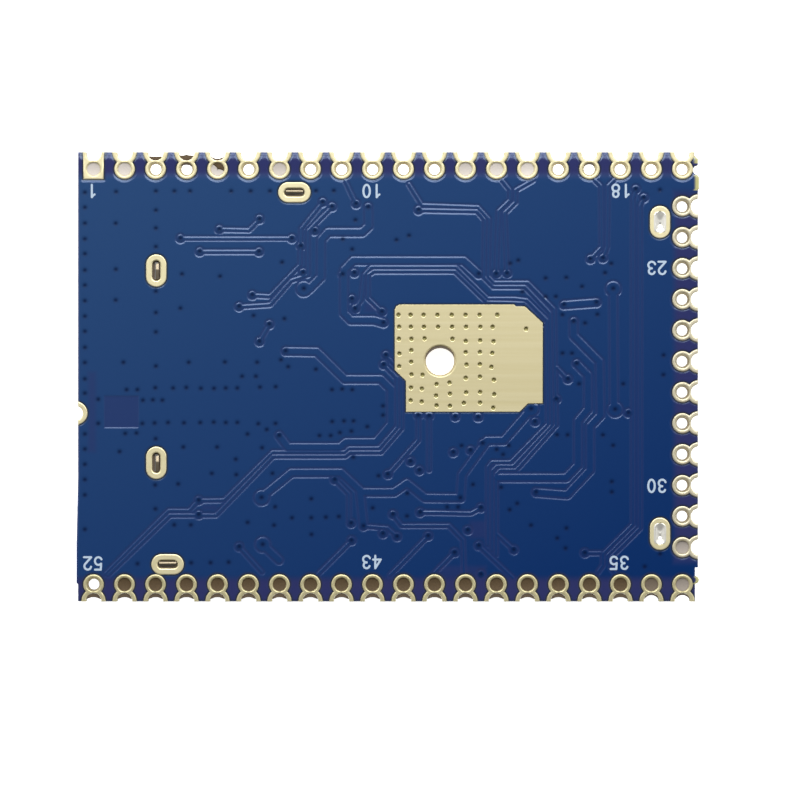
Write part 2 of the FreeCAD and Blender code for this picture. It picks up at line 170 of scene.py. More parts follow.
# Heat land: rounding of its edge, end of its hole's wall, and radius, rim and depths of its small vias.
# Those of the last columns and of every second row are open, the others half filled with tin.
heat_rim, heat_wall_low = 0.02 * MM, board_low + 0.02 * MM
heat_via_r, heat_via_rim = 0.13 * MM, 0.05 * MM
heat_via_open, heat_via_filled = 0.7 * MM, 0.26 * MM
heat_open_from, heat_row_step = 6.3 * MM, 0.78 * MM

# Covered vias of the ground pour, seen as small dark dips
ground_vias = [spot(*p) for p in (
    (84.9, 192.6), (84.9, 207.6), (84.9, 223.5), (84.9, 239.1), (84.9, 253.9), (84.9, 270.4),
    (84.9, 285.4), (84.9, 301), (84.9, 316.4), (84.9, 331.6), (84.9, 347.6), (84.9, 362.8),
    (84.9, 379.1), (84.9, 393.4), (84.9, 434.2), (84.9, 449.2), (84.9, 464.5), (84.9, 479.7),
    (84.9, 495.1), (84.9, 529.5),
    (116.1, 191.9), (155.9, 191.3), (174.4, 191.3), (190.1, 191.3), (231.2, 191.3), (250.7, 191.3),
    (270, 191.3), (315.9, 191), (333.8, 190.8), (155.9, 210.5), (115.7, 223.5), (155.9, 228.3),
    (155.9, 246.9), (115.9, 269.5), (182.1, 274.2), (220.1, 276.5), (155.9, 291.5), (115.7, 300.3),
    (180.5, 308.4), (155.9, 312.8), (253.6, 315.8), (284.4, 318.9), (155.9, 332.2), (123.4, 362.5),
    (155.9, 366.3), (188.8, 362.5), (224.9, 362.2), (257.1, 362.5), (242.1, 376.5), (255.9, 376.5),
    (126.6, 389.9), (137.4, 389.9), (155.3, 388), (173.1, 388.3), (186.3, 387.8), (200.9, 388.6),
    (214, 388.6), (225.8, 388.3), (237.3, 388.3), (260, 387.4), (275.7, 387), (98.3, 399.5),
    (142.9, 400.4), (152.9, 400.1), (162.4, 400.4), (98.3, 423.7), (142.3, 423.7), (154.6, 423.3),
    (168, 422.8), (184, 423.1), (200.3, 422.8), (213.7, 422.4), (225.8, 422.8), (237.3, 422.7),
    (258.3, 424), (275.5, 423.7), (266.8, 429.7), (125.3, 433.7), (136.5, 433.3), (247.5, 434.3),
    (155.7, 439), (119.6, 451.8), (183.3, 447.3), (217.1, 447.3), (235.8, 459.4), (211.8, 473.6),
    (236.3, 474.9), (155.2, 485.2), (178.2, 484.2), (155.5, 509.1), (174.2, 525.1), (190.9, 525.1),
    (137.5, 563.9), (191.2, 563), (210.6, 562.8), (228.7, 562.4), (282.1, 262.4), (342.9, 239.2),
    (352.2, 249.4), (396.5, 240.1), (409, 235.7), (355.4, 220.1), (281, 360), (288.2, 367),
    (315.9, 369.5), (332, 389.9), (342.2, 389.3), (352.3, 389.9), (383, 406.1), (383, 415.4),
    (332.2, 421.8), (344, 421.2), (353.5, 421.2), (367.3, 426.9), (351.4, 431.4), (339.9, 432.9),
    (330.7, 435.8), (319.5, 435.8), (262.1, 448), (353.3, 457.5), (272.5, 473.6), (378.5, 476),
    (311.3, 499), (311.3, 518), (292, 518), (325.9, 517.4), (338.8, 516.8), (275.1, 507.1),
    (247.6, 522.6), (274, 525.4), (311.5, 534.6), (372.7, 508.2), (518.2, 260.5), (510.3, 263.5),
    (545.6, 278.4), (566.3, 277.8), (582, 286.7), (605, 273), (611.3, 263.7), (545.7, 297),
    (555.8, 296.7), (522.3, 292), (562.4, 314.9), (597.4, 314.6), (585, 323.3), (660, 190),
    (562.5, 353.5), (572, 353.5), (579, 384.1), (623.2, 384.1), (663.6, 355.4), (663.4, 375),
    (557, 435), (567.6, 435.1), (602.9, 435.2), (613.1, 445.6), (611.8, 481.8), (611.8, 492.1),
    (407.3, 493.5), (473, 484.7), (501.1, 487.6), (447.2, 507.1), (458.1, 507.1), (407, 516.3),
    (517.2, 503.6), (509.7, 509.9), (531, 525.4), (557.2, 538.3), (566.4, 528.3), (565.5, 548.4),
    (660.2, 554.1), (644.7, 566.8), (461.6, 445.8), (496.7, 449.6), (503.1, 454.7), (508.8, 445.8),
)]

# Small vias in the heat land
heat_vias = [spot(*p) for p in (
    (398.5, 315), (410.6, 315), (423.6, 315), (437.4, 315), (451.7, 315), (465.5, 315), (479.5, 315),
    (497.3, 315), (399.1, 327), (410.9, 327), (424, 327), (438, 327), (452.1, 327), (466.1, 327),
    (480.4, 327), (492.6, 327), (398.9, 339), (411.4, 339), (424.6, 338.5), (452.4, 339),
    (465.7, 341.2), (480.1, 340.6), (493.5, 341.5), (399.4, 353.7), (411.2, 350.4), (465.7, 352.4),
    (479.9, 352.3), (492.2, 353.1), (399.1, 366.5), (411.2, 362), (466.5, 364.8), (479.9, 364.4),
    (491.4, 367), (411.5, 374.6), (422.5, 375), (465.7, 378), (479.9, 376.9), (493.8, 379.9),
    (436.5, 384.3), (449.5, 382.7), (411, 387.8), (421.8, 388.8), (436.1, 395.7), (449.9, 393.9),
    (466.1, 392.6), (480.1, 392.2), (494.2, 394.4), (410.6, 400.5), (421.7, 401.8), (436.5, 405.6),
    (449.9, 406), (463.9, 403.1), (480.1, 402.7), (493.3, 407.9), (526, 328.9),
)]

# Vias that end a thin track, each with its pad and gap
signal_vias = [spot(*p) for p in (
    (180.5, 238.3), (292, 238.3), (199.7, 251.5), (259, 251.5), (219.4, 229.3), (259.5, 219),
    (322.7, 202.1), (252.4, 295), (332.1, 206.6), (239.2, 306.5), (314.9, 230.6), (301, 245.9),
    (303.1, 272.4), (368.2, 207), (356.1, 203.8), (418.6, 209.9), (383.5, 322.7), (478.7, 273.9),
    (355.2, 308.6), (382, 311.6), (342.7, 274.2), (354.4, 272.7), (352, 298.8), (496.2, 273.7),
    (507.1, 273.3), (590.5, 258.9), (603, 258), (564, 304.7), (596.5, 302.3), (573.7, 321.3),
    (635.8, 189), (643.7, 197.7), (556.4, 399), (628.4, 412.8), (536.1, 492.1), (576.7, 363.5),
    (567.9, 379), (584.8, 552.8), (285.7, 351), (279.3, 435.5), (269.4, 324.2), (259.5, 341.5),
    (383.7, 364.6), (386, 355), (198.7, 500.2), (198.7, 514.5), (460.4, 497.9),
    (334.8, 479.6), (351.2, 523.1), (363.5, 526), (397, 536.4), (383, 533.5), (393, 514.3),
    (420.2, 512.2), (481, 507.6), (428.2, 535.8), (454.6, 552.4), (467.8, 530), (478.7, 545.5),
    (481, 574.2), (513.8, 549.6), (239.2, 546.7), (351.5, 540.4), (418.3, 415.2),
    (429.1, 415.8), (455.3, 416.5), (478.2, 417.1), (410.6, 461.3), (419.5, 470.2), (453.3, 452.2),
    (470.6, 450.3), (482.7, 443.3), (535, 421.6), (387.8, 474.2),
)]
big_vias = [spot(*p) for p in (
    (613.2, 288.6), (615.2, 409.4), (262.7, 544.4), (531.2, 408.8), (303.8, 288.6), (261.6, 497.6),
)]

# Tracks, from corner to corner
thin_tracks = [[spot(*p) for p in line] for line in (
    [(180.5, 238.3), (292, 238.3)],
    [(199.7, 251.5), (259, 251.5)],
    [(219.4, 229.3), (249, 230), (259.5, 219)],
    [(322.7, 202.1), (301, 229), (300, 265), (270, 296), (252.4, 295)],
    [(332.1, 206.6), (308, 231), (308, 275), (291, 280.5), (270, 304.5), (239.2, 306.5)],
    [(345, 180), (356.1, 203.8)],
    [(409, 184), (422, 205), (478, 207), (489, 219), (488, 276), (494, 282.5), (528, 282.5), (554, 309),
     (556, 425), (516, 470), (500, 470), (496, 474), (496, 555)],
    [(418.6, 209.9), (477, 211), (485, 220), (484, 277), (493.5, 286.5), (525, 286.5), (550, 313),
     (552, 425), (513.5, 466), (497, 466), (492, 471), (492, 550)],
    [(355.2, 308.6), (361, 300), (364, 275), (371, 267), (456, 267), (488, 298.5), (515, 298.5),
     (527, 300), (547, 320), (548, 424), (510.5, 462), (492, 462), (488, 467), (488, 545)],
    [(382, 311.6), (368, 298), (368, 275), (374, 271), (455, 271), (487, 302), (524, 303), (544, 324)],
    [(502, 180), (510, 190), (510, 200), (498.5, 211), (496.2, 273.7)],
    [(533, 180), (515.5, 190), (515.5, 202), (504.5, 213), (507.1, 273.3)],
    [(593, 178), (601, 186), (601.5, 247), (590.5, 258.9)],
    [(614, 180), (608, 186), (607, 247), (603, 258)],
    [(635.8, 189), (633, 200), (633, 524), (603, 554), (603, 565), (598, 572)],
    [(643.7, 197.7), (640, 206), (640, 528), (611, 557), (611, 568), (616, 574)],
    [(584.8, 552.8), (601, 552.8)],
    [(567.9, 379), (556.7, 367.4)],
    [(269.4, 324.2), (259.5, 341.5)],
    [(383.7, 364.6), (397, 378), (397.5, 427), (379, 448), (349, 448), (345, 452), (272.5, 452),
     (224, 500), (198.7, 500.2)],
    [(198.7, 500.2), (189, 510.5), (168.5, 510.5), (105, 574)],
    [(386, 355), (401, 372), (401.5, 428), (381, 452), (350, 452), (345, 456), (273, 456), (216, 515),
     (170, 515), (108, 575)],
    [(334.8, 479.6), (349, 494), (349, 520), (351.2, 523.1)],
    [(363.5, 526), (387.6, 528), (397, 536.4)],
    [(393, 514.3), (401.5, 525.5), (449, 525.5), (463, 540), (464, 574)],
    [(420.2, 512.2), (471, 513), (481, 507.6)],
    [(428.2, 535.8), (390, 575)],
    [(454.6, 552.4), (434, 573)],
    [(478.7, 545.5), (513, 578)],
    [(496, 533), (513.8, 549.6)],
    [(239.2, 546.7), (262, 572)],
    [(351.5, 540.4), (317, 575)],
    [(418.3, 415.2), (418.3, 440), (387.8, 474.2)],
    [(429.1, 415.8), (429.1, 470)],
)]
wide_tracks = [[spot(*p) for p in line] for line in (
    [(368.2, 207), (368.5, 226), (362, 232), (328, 232), (321, 240), (320.7, 277), (309, 288.8),
     (303.8, 288.6)],
    [(383.5, 322.7), (374, 320), (351, 320), (344, 313), (344, 270), (353, 260.5), (464, 260.5),
     (478.7, 273.9)],
    [(564, 304.7), (596.5, 302.3)],
    [(613.2, 288.6), (614, 409.4)],
    [(573.6, 321.6), (573.6, 335.3), (599.5, 361.5), (600.5, 415), (590, 426), (590, 470),
     (567, 494.5), (536.1, 492.1)],
    [(576.7, 363.5), (588, 375), (588, 409), (578, 421), (578, 465), (566, 477.5), (497, 477.5)],
    [(285.7, 351), (317, 351.5), (345, 379), (381, 379), (391, 389), (391, 424), (376, 442), (346, 442),
     (340, 447), (288, 447), (279.3, 435.5)],
    [(261.3, 497), (291.5, 472.5), (341, 472.5), (362, 492), (394, 492), (407, 483), (425, 497.5),
     (460.4, 497.9)],
    [(360, 492), (363.5, 526)],
    [(262.7, 544.4), (279, 560)],
    [(531.2, 408.8), (503.5, 440.5), (487, 440.5), (462, 475), (460.4, 497.9)],
)]

# Pour of copper under the mask: where its soft edges have their middle, and half their width. It stops
# short of the rows and of the left edge, and goes on to the right edge past the ends of the right row.
pour_stop, pour_stop_half = 1.5 * MM, 0.3 * MM
pour_corner, pour_corner_half = 11.9 * MM, 0.4 * MM
pour_left, pour_left_half = 0.06 * MM, 0.06 * MM

# Colour of the mask: how much it deepens from the middle to the right and to the lower edge, a painted
# light and shade, how much of the bare colour shows in the boxes without copper and in the narrow gaps
# beside tracks, and how dark the thin gap round each land is
mask_light_slant = (0.22, -0.28)
box_tint, soft_box_half = 0.42, 0.2 * MM
narrow_gap_tint = 0.3
# The thin gap round a land is bare, and darkened further with painted shade
outline_shade = 0.7

# Relief: how much lower the steps are at the lower edge, the shade right at that edge, and the drops
# round the lands, along the board's edge and towards the routed top edge
low_relief = 0.3
low_edge_shade, low_edge_half = 0.6, 0.1 * MM
opening_drop, opening_share = 0.022 * MM, 0.45
edge_drop, edge_half = 0.035 * MM, 0.07 * MM
top_drop, top_middle, top_half = 0.06 * MM, 0.3 * MM, 0.25 * MM

# Covered vias: a big one's pad and a signal via's dip against the usual ones, how far out a dip is
# worked out, how fast the dip and its shade fade with the square of the way out, all in radii, and
# how dark the shade is
big_pad_share, signal_dip_share = 2.0, 1.1
dip_reach, dip_fade, shade_fade, via_shade = 5, 1.3, 1.2, 0.9

# Square without copper above the aerial socket, and patches without copper that show by their tint
bare_boxes = [
    (*spot(104.2, 427.8), *spot(138.6, 395.9)), (*spot(88.5, 452), *spot(96, 372)),
    (*spot(202, 510), *spot(217, 505)), (*spot(365, 312), *spot(376, 304)),
    (*spot(470, 538), *spot(486, 521)), (*spot(438, 580), *spot(486, 566)),
]

# Painted light and shade in holes and slots: brown sheets stand for shade, pale ones for light. Holes of
# the top row that a pale sheet closes, pin by pin, with how pale it is. Depth of the sheet in holes, in
# the last hole of the side row and in slots, how far its middle sags, how much of the hole's radius it
# fills, and how pale it is in slots.
pale_holes = {1: 0.9, 2: 0.9, 5: 0.85, 7: 0.8, 13: 0.87, 14: 0.94, 15: 1.0}
painted_sheet_depth, side_painted_sheet_depth, slot_painted_sheet_depth = 0.12 * MM, 0.15 * MM, 0.24 * MM
painted_sheet_sag, fringe_sag = 0.06 * MM, 0.05 * MM
painted_sheet_fit, fringe_fit = 0.98, 0.985
slot_paleness = 0.1

# Printed figures, turned half round: text and the pixels at its corners
figures = {
    "1": (89.5, 184, 95.2, 198), "10": (361.7, 183.6, 382, 198.5), "18": (610, 183.7, 632, 198),
    "23": (646, 260.4, 667.7, 275.5), "30": (646, 478.4, 667.4, 493.3), "35": (608, 555, 630, 570.6),
    "43": (360, 554, 383.4, 570), "52": (82, 555.5, 104, 571.3),
}
figure_height = 0.8 * MM
figure_step = 0.68 * MM
figure_middle = 0.38
ink_width, ink_height, ink_layer = 0.135 * MM, 0.006 * MM, 0.003 * MM

# Stage: size and place of the soft box, reach of the floor, camera's sensor in millimetres, and side
# of the picture in pixels
window_size, window_place = (0.32, 0.13), (0.0, 0.18, 0.24)
floor_reach = 3.0
sensor_width = 36.0
image_side = 800


def bow(x, y, wide, high, start, sweep, count=14):
    """Points of an ellipse, at even angles from start over sweep, in degrees."""
    angles = [math.radians(start + sweep * k / (count - 1)) for k in range(count)]
    return [(x + wide * math.cos(a), y + high * math.sin(a)) for a in angles]


# Strokes of each printed figure, in shares of its height
figure_strokes = {
    "0": [bow(0.32, 0.5, 0.26, 0.5, 90, 360, 26)],
    "1": [[(0.14, 0.78), (0.24, 0.84), (0.36, 1.0)], [(0.36, 1.0), (0.36, 0.0)]],
    "2": [[*bow(0.32, 0.72, 0.27, 0.28, 170, -205), (0.04, 0.0)], [(0.04, 0.0), (0.62, 0.0)]],
    "3": [bow(0.31, 0.76, 0.24, 0.24, 165, -255), bow(0.31, 0.27, 0.28, 0.27, 90, -255)],
    "4": [[(0.46, 0.0), (0.46, 1.0)], [(0.46, 1.0), (0.02, 0.3)], [(0.02, 0.3), (0.64, 0.3)]],
    "5": [[(0.58, 1.0), (0.12, 1.0)], [(0.12, 1.0), (0.09, 0.52)], bow(0.31, 0.31, 0.28, 0.31, 132, -285)],
    "8": [bow(0.32, 0.76, 0.22, 0.24, 90, 360, 20), bow(0.32, 0.27, 0.27, 0.27, 90, 360, 22)],
}


# What the fine sizes and the colours have in common
metres = {"unit": "LENGTH", "subtype": "DISTANCE", "precision": 6}
paint = {"size": 3, "subtype": "COLOR", "min": 0, "max": 1}


class ModuleSizes(bpy.types.PropertyGroup):
    """Fine sizes of the mask, the plating and the print."""

    grid_step: FloatProperty(
        name="Relief step", description="Distance between two points of the mask's relief",
        default=0.05 * MM, min=0.03 * MM, **metres)
    copper_height: FloatProperty(
        name="Copper height", description="How much the mask rises over copper",
        default=0.035 * MM, **metres)
    slope: FloatProperty(
        name="Slope width", description="Width over which the mask runs down at an edge of copper",
        default=0.08 * MM, **metres)
    thin_track: FloatProperty(
        name="Thin track", description="Width of a signal track",
        default=0.14 * MM, **metres)
    wide_track: FloatProperty(
        name="Wide track", description="Width of a supply track",
        default=0.42 * MM, **metres)
    gap: FloatProperty(
        name="Gap", description="Gap between a track and the ground pour",
        default=0.14 * MM, **metres)
    via_pad_r: FloatProperty(
        name="Via pad radius", description="Radius of the pad of a signal via",
        default=0.22 * MM, **metres)
    dip_r: FloatProperty(
        name="Dip radius", description="Radius of the dip where the mask covers a via",
        default=0.16 * MM, **metres)
    dip_depth: FloatProperty(
        name="Dip depth", description="Depth of the dip over a via",
        default=0.022 * MM, **metres)
    mask_opening: FloatProperty(
        name="Mask opening", description="Bare gap between a land and the mask",
        default=0.085 * MM, **metres)
    land_gap: FloatProperty(
        name="Gap at lands", description="Distance from a terminal's land to the ground pour",
        default=0.14 * MM, **metres)
    rim: FloatProperty(
        name="Rim radius", description="Rounding of the plating at an edge",
        default=0.075 * MM, **metres)
    waist: FloatProperty(
        name="Waist of the plating", description="How much a plated hole narrows halfway through the board",
        default=0.1 * MM, **metres)


def linear(code):
    """sRGB hex code as linear red, green and blue."""
    parts = [int(code[k:k + 2], 16) / 255 for k in (0, 2, 4)]
    return tuple(c / 12.92 if c <= 0.04045 else ((c + 0.055) / 1.055) ** 2.4 for c in parts)


class ModuleColours(bpy.types.PropertyGroup):
    """Colours of the finishes."""

    # Ends of the painted light and shade across the mask over copper
    mask_pale: FloatVectorProperty(
        name="Mask at its palest", description="Solder mask over copper, at the top left corner",
        default=linear("213C63"), **paint)
    mask_deep: FloatVectorProperty(
        name="Mask at its deepest", description="Solder mask over copper, at the lower right corner",
        default=linear("022253"), **paint)
    mask_bare: FloatVectorProperty(
        name="Mask over laminate", description="Solder mask where there is no copper below",
        default=linear("262A54"), **paint)
    laminate: FloatVectorProperty(
        name="Laminate", description="Glass-epoxy laminate at its cut edge",
        default=linear("A8A470"), **paint)
    gold: FloatVectorProperty(
        name="Gold", description="Thin gold over nickel",
        default=linear("DFD7B4"), **paint)


class ModuleStudio(bpy.types.PropertyGroup):
    """Camera and light."""

    camera_height: FloatProperty(
        name="Camera height", description="Height of the camera above the board",
        default=0.3, unit="LENGTH", subtype="DISTANCE")
    window_power: FloatProperty(
        name="Window power", description="Power of the soft box behind the top row",
        default=1.22, unit="POWER")
    dome_light: FloatProperty(
        name="Ceiling light", description="Brightness of the room's ceiling", default=0.35)
    zenith_light: FloatProperty(
        name="Zenith light", description="Brightness of the dark shade round the camera", default=0.04)
    wall_light: FloatProperty(
        name="Wall light", description="Brightness of the pale walls all round", default=2.0)
    front_light: FloatProperty(
        name="Front light", description="Brightness of the dim wall behind the bottom row", default=0.7)
    floor_light: FloatProperty(
        name="Floor light", description="Glow of the light table under the module", default=0.75)


# Outlines, in metres, each closed and counter-clockwise unless it says otherwise


def arc(x, y, radius, start, sweep, count):
    """count points on a circle, at even angles from start over sweep, in degrees."""
    angle = np.radians(start + sweep * np.arange(count) / max(count - 1, 1))
    return np.stack([x + radius * np.cos(angle), y + radius * np.sin(angle)], axis=1)


def circle(x, y, radius, count):
    """count points round a full circle."""
    return arc(x, y, radius, 0, 360 * (count - 1) / count, count)


def oval(x, y, length, width, upright, count=16):
    """Slot outline: two half circles joined by straight sides."""
    r = width / 2
    reach = length / 2 - r
    loop = np.vstack([arc(reach, 0, r, -90, 180, count), arc(-reach, 0, r, 90, 180, count)])
    if upright:
        loop = np.stack([-loop[:, 1], loop[:, 0]], axis=1)
    return loop + (x, y)


def grown(loop, step):
    """Loop moved outwards by step: each corner goes along the sum of its two edges' normals, divided
    by one plus the cosine between them, so that every edge moves by exactly step."""
    along = np.roll(loop, -1, axis=0) - loop
    normal = np.stack([along[:, 1], -along[:, 0]], axis=1)
    normal /= np.linalg.norm(normal, axis=1, keepdims=True)
    before = np.roll(normal, 1, axis=0)
    share = 1 + np.sum(normal * before, axis=1, keepdims=True)
    return loop + step * (normal + before) / np.maximum(share, 0.3)


def terminal_loop(inset):
    """Outline of a terminal's land with its half hole, drawn inwards (+Y) from the edge y = 0.

    It is the union of the circle round the half hole and the circle round the pin hole. The circles
    cross where the two radii and the distance between the centres make a triangle.
    """
    low = inset - hole_to_half_hole
    reach = (ring_land_r**2 - edge_land_r**2 + hole_to_half_hole**2) / (2 * hole_to_half_hole)
    ring = math.degrees(math.acos(reach / ring_land_r))
    edge = math.degrees(math.acos((hole_to_half_hole - reach) / edge_land_r))
    tip = math.degrees(math.asin(-low / edge_land_r))
    lean = math.degrees(math.asin(-low / half_hole_r))
    return np.vstack([
        arc(0, low, edge_land_r, tip, 90 - edge - tip, 9),
        arc(0, inset, ring_land_r, -90 + ring, 360 - 2 * ring, 34)[1:-1],
        arc(0, low, edge_land_r, 90 + edge, 90 - edge - tip, 9),
        arc(0, low, half_hole_r, 180 - lean, -180 + 2 * lean, bay_points),
    ])


def square_loop(inset):
    """Outline of terminal 1's square land with its half hole."""
    half = square_land / 2
    low = inset - hole_to_half_hole
    lean = math.degrees(math.asin(-low / half_hole_r))
    corners = [(half, 0), (half, inset + half), (-half, inset + half), (-half, 0)]
    return np.vstack([corners, arc(0, low, half_hole_r, 180 - lean, -180 + 2 * lean, bay_points)])


def on_cut_edge(loop):
    """Which points of a land's outline lie on the board's cut edge y = 0."""
    return np.abs(loop[:, 1]) < 0.001 * MM


def painted_sheet_places():
    """Centre, depth and paleness of the painted sheet, brown for shade and pale for light, in each hole
    that the photograph shows closed.
    """
    row = half_width - long_inset
    places = [(x, -row, painted_sheet_depth, 0.0) for x in long_row[1:-2]]
    places += [(long_row[-2], -row, painted_sheet_depth, 0.11), (long_row[-1], -row, painted_sheet_depth, 0.37)]
    places += [(half_length - side_inset, side_row[-1], side_painted_sheet_depth, 0.5)]
    places += [(long_row[pin - 1], row, painted_sheet_depth, share) for pin, share in pale_holes.items()]
    return places


def wall_shade_fringes():
    """Painted shade that hangs on the wall of a hole as a brown fringe: centre and radius of the hole,
    direction from the centre in degrees, how far it reaches to either side, its width, its depth and its
    paleness."""
    row = half_width - long_inset
    bay = row + hole_to_half_hole
    fringes = [(x, -bay, half_hole_r, 90, 78, 0.27 * MM, 0.1 * MM, 0.06) for x in long_row[:-2]]
    fringes += [(x, -bay, half_hole_r, 90, 78, 0.13 * MM, 0.1 * MM, 0.06) for x in long_row[-2:]]
    fringes += [(long_row[pin - 1], bay, half_hole_r, -90, reach, width, 0.1 * MM, 0.0)
                for pin, reach, width in ((3, 62, 0.26 * MM), (4, 70, 0.38 * MM), (5, 58, 0.12 * MM))]
    fringes += [
        (long_row[3], row, pin_hole_r, 85, 65, 0.16 * MM, 0.12 * MM, 0.1),
        (long_row[4], row, pin_hole_r, 60, 75, 0.5 * MM, 0.1 * MM, 0.0),
        (long_row[16], row, pin_hole_r, 90, 60, 0.14 * MM, 0.12 * MM, 0.2),
        (*heat_hole, heat_hole_r, 95, 80, 0.17 * MM, 0.12 * MM, 0.15),
    ]
    return fringes


def board_outline():
    """Board's edge with its half holes, counter-clockwise from its lower left corner."""

    def bays(places, along, inward, shift, radius):
        """Half holes cut into an edge, in order along it."""
        lean = math.asin(-shift / radius)
        turn = np.linspace(lean, math.pi - lean, 20)
        return [
            np.array(place) + shift * inward
            + radius * (np.outer(-np.cos(turn), along) + np.outer(np.sin(turn), inward))
            for place in places
        ]

    x_way, y_way = np.array([1.0, 0.0]), np.array([0.0, 1.0])
    shift_long = long_inset - hole_to_half_hole
    shift_side = side_inset - hole_to_half_hole
    right = half_length - recess_in
    return np.vstack([
        [(-half_length, -half_width)],
        *bays([(x, -half_width) for x in long_row], x_way, y_way, shift_long, half_hole_r),
        [(right, -half_width)],
        arc(right, nub_y, nub_r, -90, 180, 10),
        [(right, recess_y), (half_length, recess_y)],
        *bays([(half_length, y) for y in side_row[::-1]], y_way, -x_way, shift_side, half_hole_r),
        [(half_length, stub_low), (half_length + stub_out, stub_low + stub_out)],
        [(half_length + stub_out, stub_high - stub_out), (half_length, stub_high)],
        arc(half_length, bite[1], bite_r, 270, -180, 14),
        [(half_length, half_width - corner_cut), (half_length - corner_cut, half_width)],
        *bays([(x, half_width) for x in long_row[::-1]], -x_way, -y_way, shift_long, half_hole_r),
        [(-half_length, half_width)],
        *bays([(-half_length, aerial_y)], -y_way, x_way, -aerial_outside, aerial_hole_r),
        [(-half_length, bulge_high), (-half_length - bulge_out, bulge_mid)],
        [(-half_length - bulge_out, bulge_low), (-half_length, bulge_low - bulge_out)],
    ])


# Meshes as (points, triangles) pairs


def filled(outer, holes, z):
    """Flat sheet at height z inside the outer loop, less the holes."""
    loops = [outer, *holes]
    counts = np.cumsum([0] + [len(loop) for loop in loops])
    flat = np.vstack(loops) / MM
    rings = [list(range(a, b)) for a, b in zip(counts[:-1], counts[1:])]
    points, _, faces, *_ = delaunay_2d_cdt([Vector(p) for p in flat.tolist()], [], rings, 2, 1e-5)
    points = np.array([(p.x, p.y) for p in points]) * MM
    faces = np.array([list(f) for f in faces])
    a, b, c = (points[faces[:, k]] for k in range(3))
    turn = (b[:, 0] - a[:, 0]) * (c[:, 1] - a[:, 1]) - (b[:, 1] - a[:, 1]) * (c[:, 0] - a[:, 0])
    faces[turn < 0] = faces[turn < 0][:, ::-1]
    return np.column_stack([points, np.full(len(points), z)]), faces


def band(loops, closed=True):
    """Strips between rows of points with the same count. Rows run from the upper to the lower one,
    so a counter-clockwise row gives faces that look outwards."""
    rows, count = len(loops), len(loops[0])
    k = np.arange(rows * count).reshape(rows, count)
    if closed:
        k = np.column_stack([k, k[:, 0]])
    a, b, c, d = k[:-1, :-1].ravel(), k[1:, :-1].ravel(), k[1:, 1:].ravel(), k[:-1, 1:].ravel()
    return np.vstack(loops), np.vstack([np.stack([a, b, c], axis=1), np.stack([a, c, d], axis=1)])


def ribbon(line, width):
    """Flat stroke along a line: each point gives one point to either side, along the mean of its two
    pieces' normals. A line that ends where it starts is closed. The ends of any other are round: the
    line goes on by half the width, while the stroke narrows as the root of a square less a square."""
    half = width / 2
    closed = np.allclose(line[0], line[-1])
    if closed:
        line = line[:-1]
        along = np.roll(line, -1, axis=0) - np.roll(line, 1, axis=0)
        reach = np.full(len(line), half)
    else:
        turn = np.linspace(0, math.pi / 2, 5)[1:]
        first, last = line[0] - line[1], line[-1] - line[-2]
        first, last = first / np.linalg.norm(first), last / np.linalg.norm(last)
        out = half * np.sin(turn)[:, None]
        narrow = half * np.cos(turn) + 1e-8
        reach = np.concatenate([narrow[::-1], np.full(len(line), half), narrow])
        line = np.vstack([(line[0] + out * first)[::-1], line, line[-1] + out * last])
        along = np.gradient(line, axis=0)
    along /= np.linalg.norm(along, axis=1, keepdims=True)
    side = np.stack([-along[:, 1], along[:, 0]], axis=1) * reach[:, None]
    return band([line + side, line - side], closed)


def at_height(loop, z):
    """Flat loop as points at height z."""
    return np.column_stack([loop, np.full(len(loop), z)])


def flipped(part):
    """The same part with its faces looking the other way."""
    return part[0], part[1][:, ::-1]


def under(part):
    """The part mirrored to the board's other face."""
    points = part[0].copy()
    points[:, 2] = land_top + board_low - points[:, 2]
    return points, part[1][:, ::-1]


def placed(part, x, y, degrees=0):
    """The part turned about Z and moved."""
    c, s = math.cos(math.radians(degrees)), math.sin(math.radians(degrees))
    points = part[0].copy()
    points[:, 0] = x + c * part[0][:, 0] - s * part[0][:, 1]
    points[:, 1] = y + s * part[0][:, 0] + c * part[0][:, 1]
    return points, part[1]


def joined(parts):
    """One part out of many."""
    starts = np.cumsum([0] + [len(p[0]) for p in parts[:-1]])
    return np.vstack([p[0] for p in parts]), np.vstack([p[1] + s for p, s in zip(parts, starts)])


def rim_steps(rim, count=4):
    """Quarter round: how far each step lies inside the edge, and how far below the face."""
    turn = np.linspace(0, math.pi / 2, count)
    return list(zip(rim * (1 - np.sin(turn)), rim * (1 - np.cos(turn))))


def rounded_edge(loop, rim, top, foot, way, on_edge=None):
    """Rounded rim of a land and its wall down to foot. way is -1 for an outer loop, whose rim lies
    inside it, and 1 for a hole. Points of on_edge stay on the board's cut edge y = 0."""
    rows = []
    for inset, drop in rim_steps(rim) + [(0.0, top - foot)]:
        row = grown(loop, way * inset)
        if on_edge is not None:
            row[on_edge, 1] = 0
        rows.append(at_height(row, top - drop))
    part = band(rows)
    return part if way < 0 else flipped(part)


def land_with_holes(outer, holes, rim, foot, on_edge=None):
    """Upper land of a plated place: a flat face, rounded rims, and the rims' walls."""
    inner = grown(outer, -rim)
    if on_edge is not None:
        inner[on_edge, 1] = 0
    flat = filled(inner, [grown(hole, rim) for hole in holes], land_top)
    rims = [rounded_edge(outer, rim, land_top, foot, -1, on_edge)]
    rims += [rounded_edge(hole, rim, land_top, foot, 1) for hole in holes]
    return flat, joined(rims)


def barrel(loop, high, low, centre=(0.0, 0.0), waist=0.0, closed=True):
    """Plated wall of a hole, seen from inside it. It narrows towards its centre by the waist, as half a
    sine over the depth. The wall of a half hole keeps its two ends on the board's cut edge."""
    rows = []
    for share in np.linspace(0, 1, 9):
        away = loop - centre
        length = np.linalg.norm(away, axis=1, keepdims=True)
        row = centre + away * (1 - waist * math.sin(math.pi * share) / length)
        if not closed:
            row = np.vstack([loop[:1], row, loop[-1:]])
        rows.append(at_height(row, high + (low - high) * share))
    return flipped(band(rows, closed))


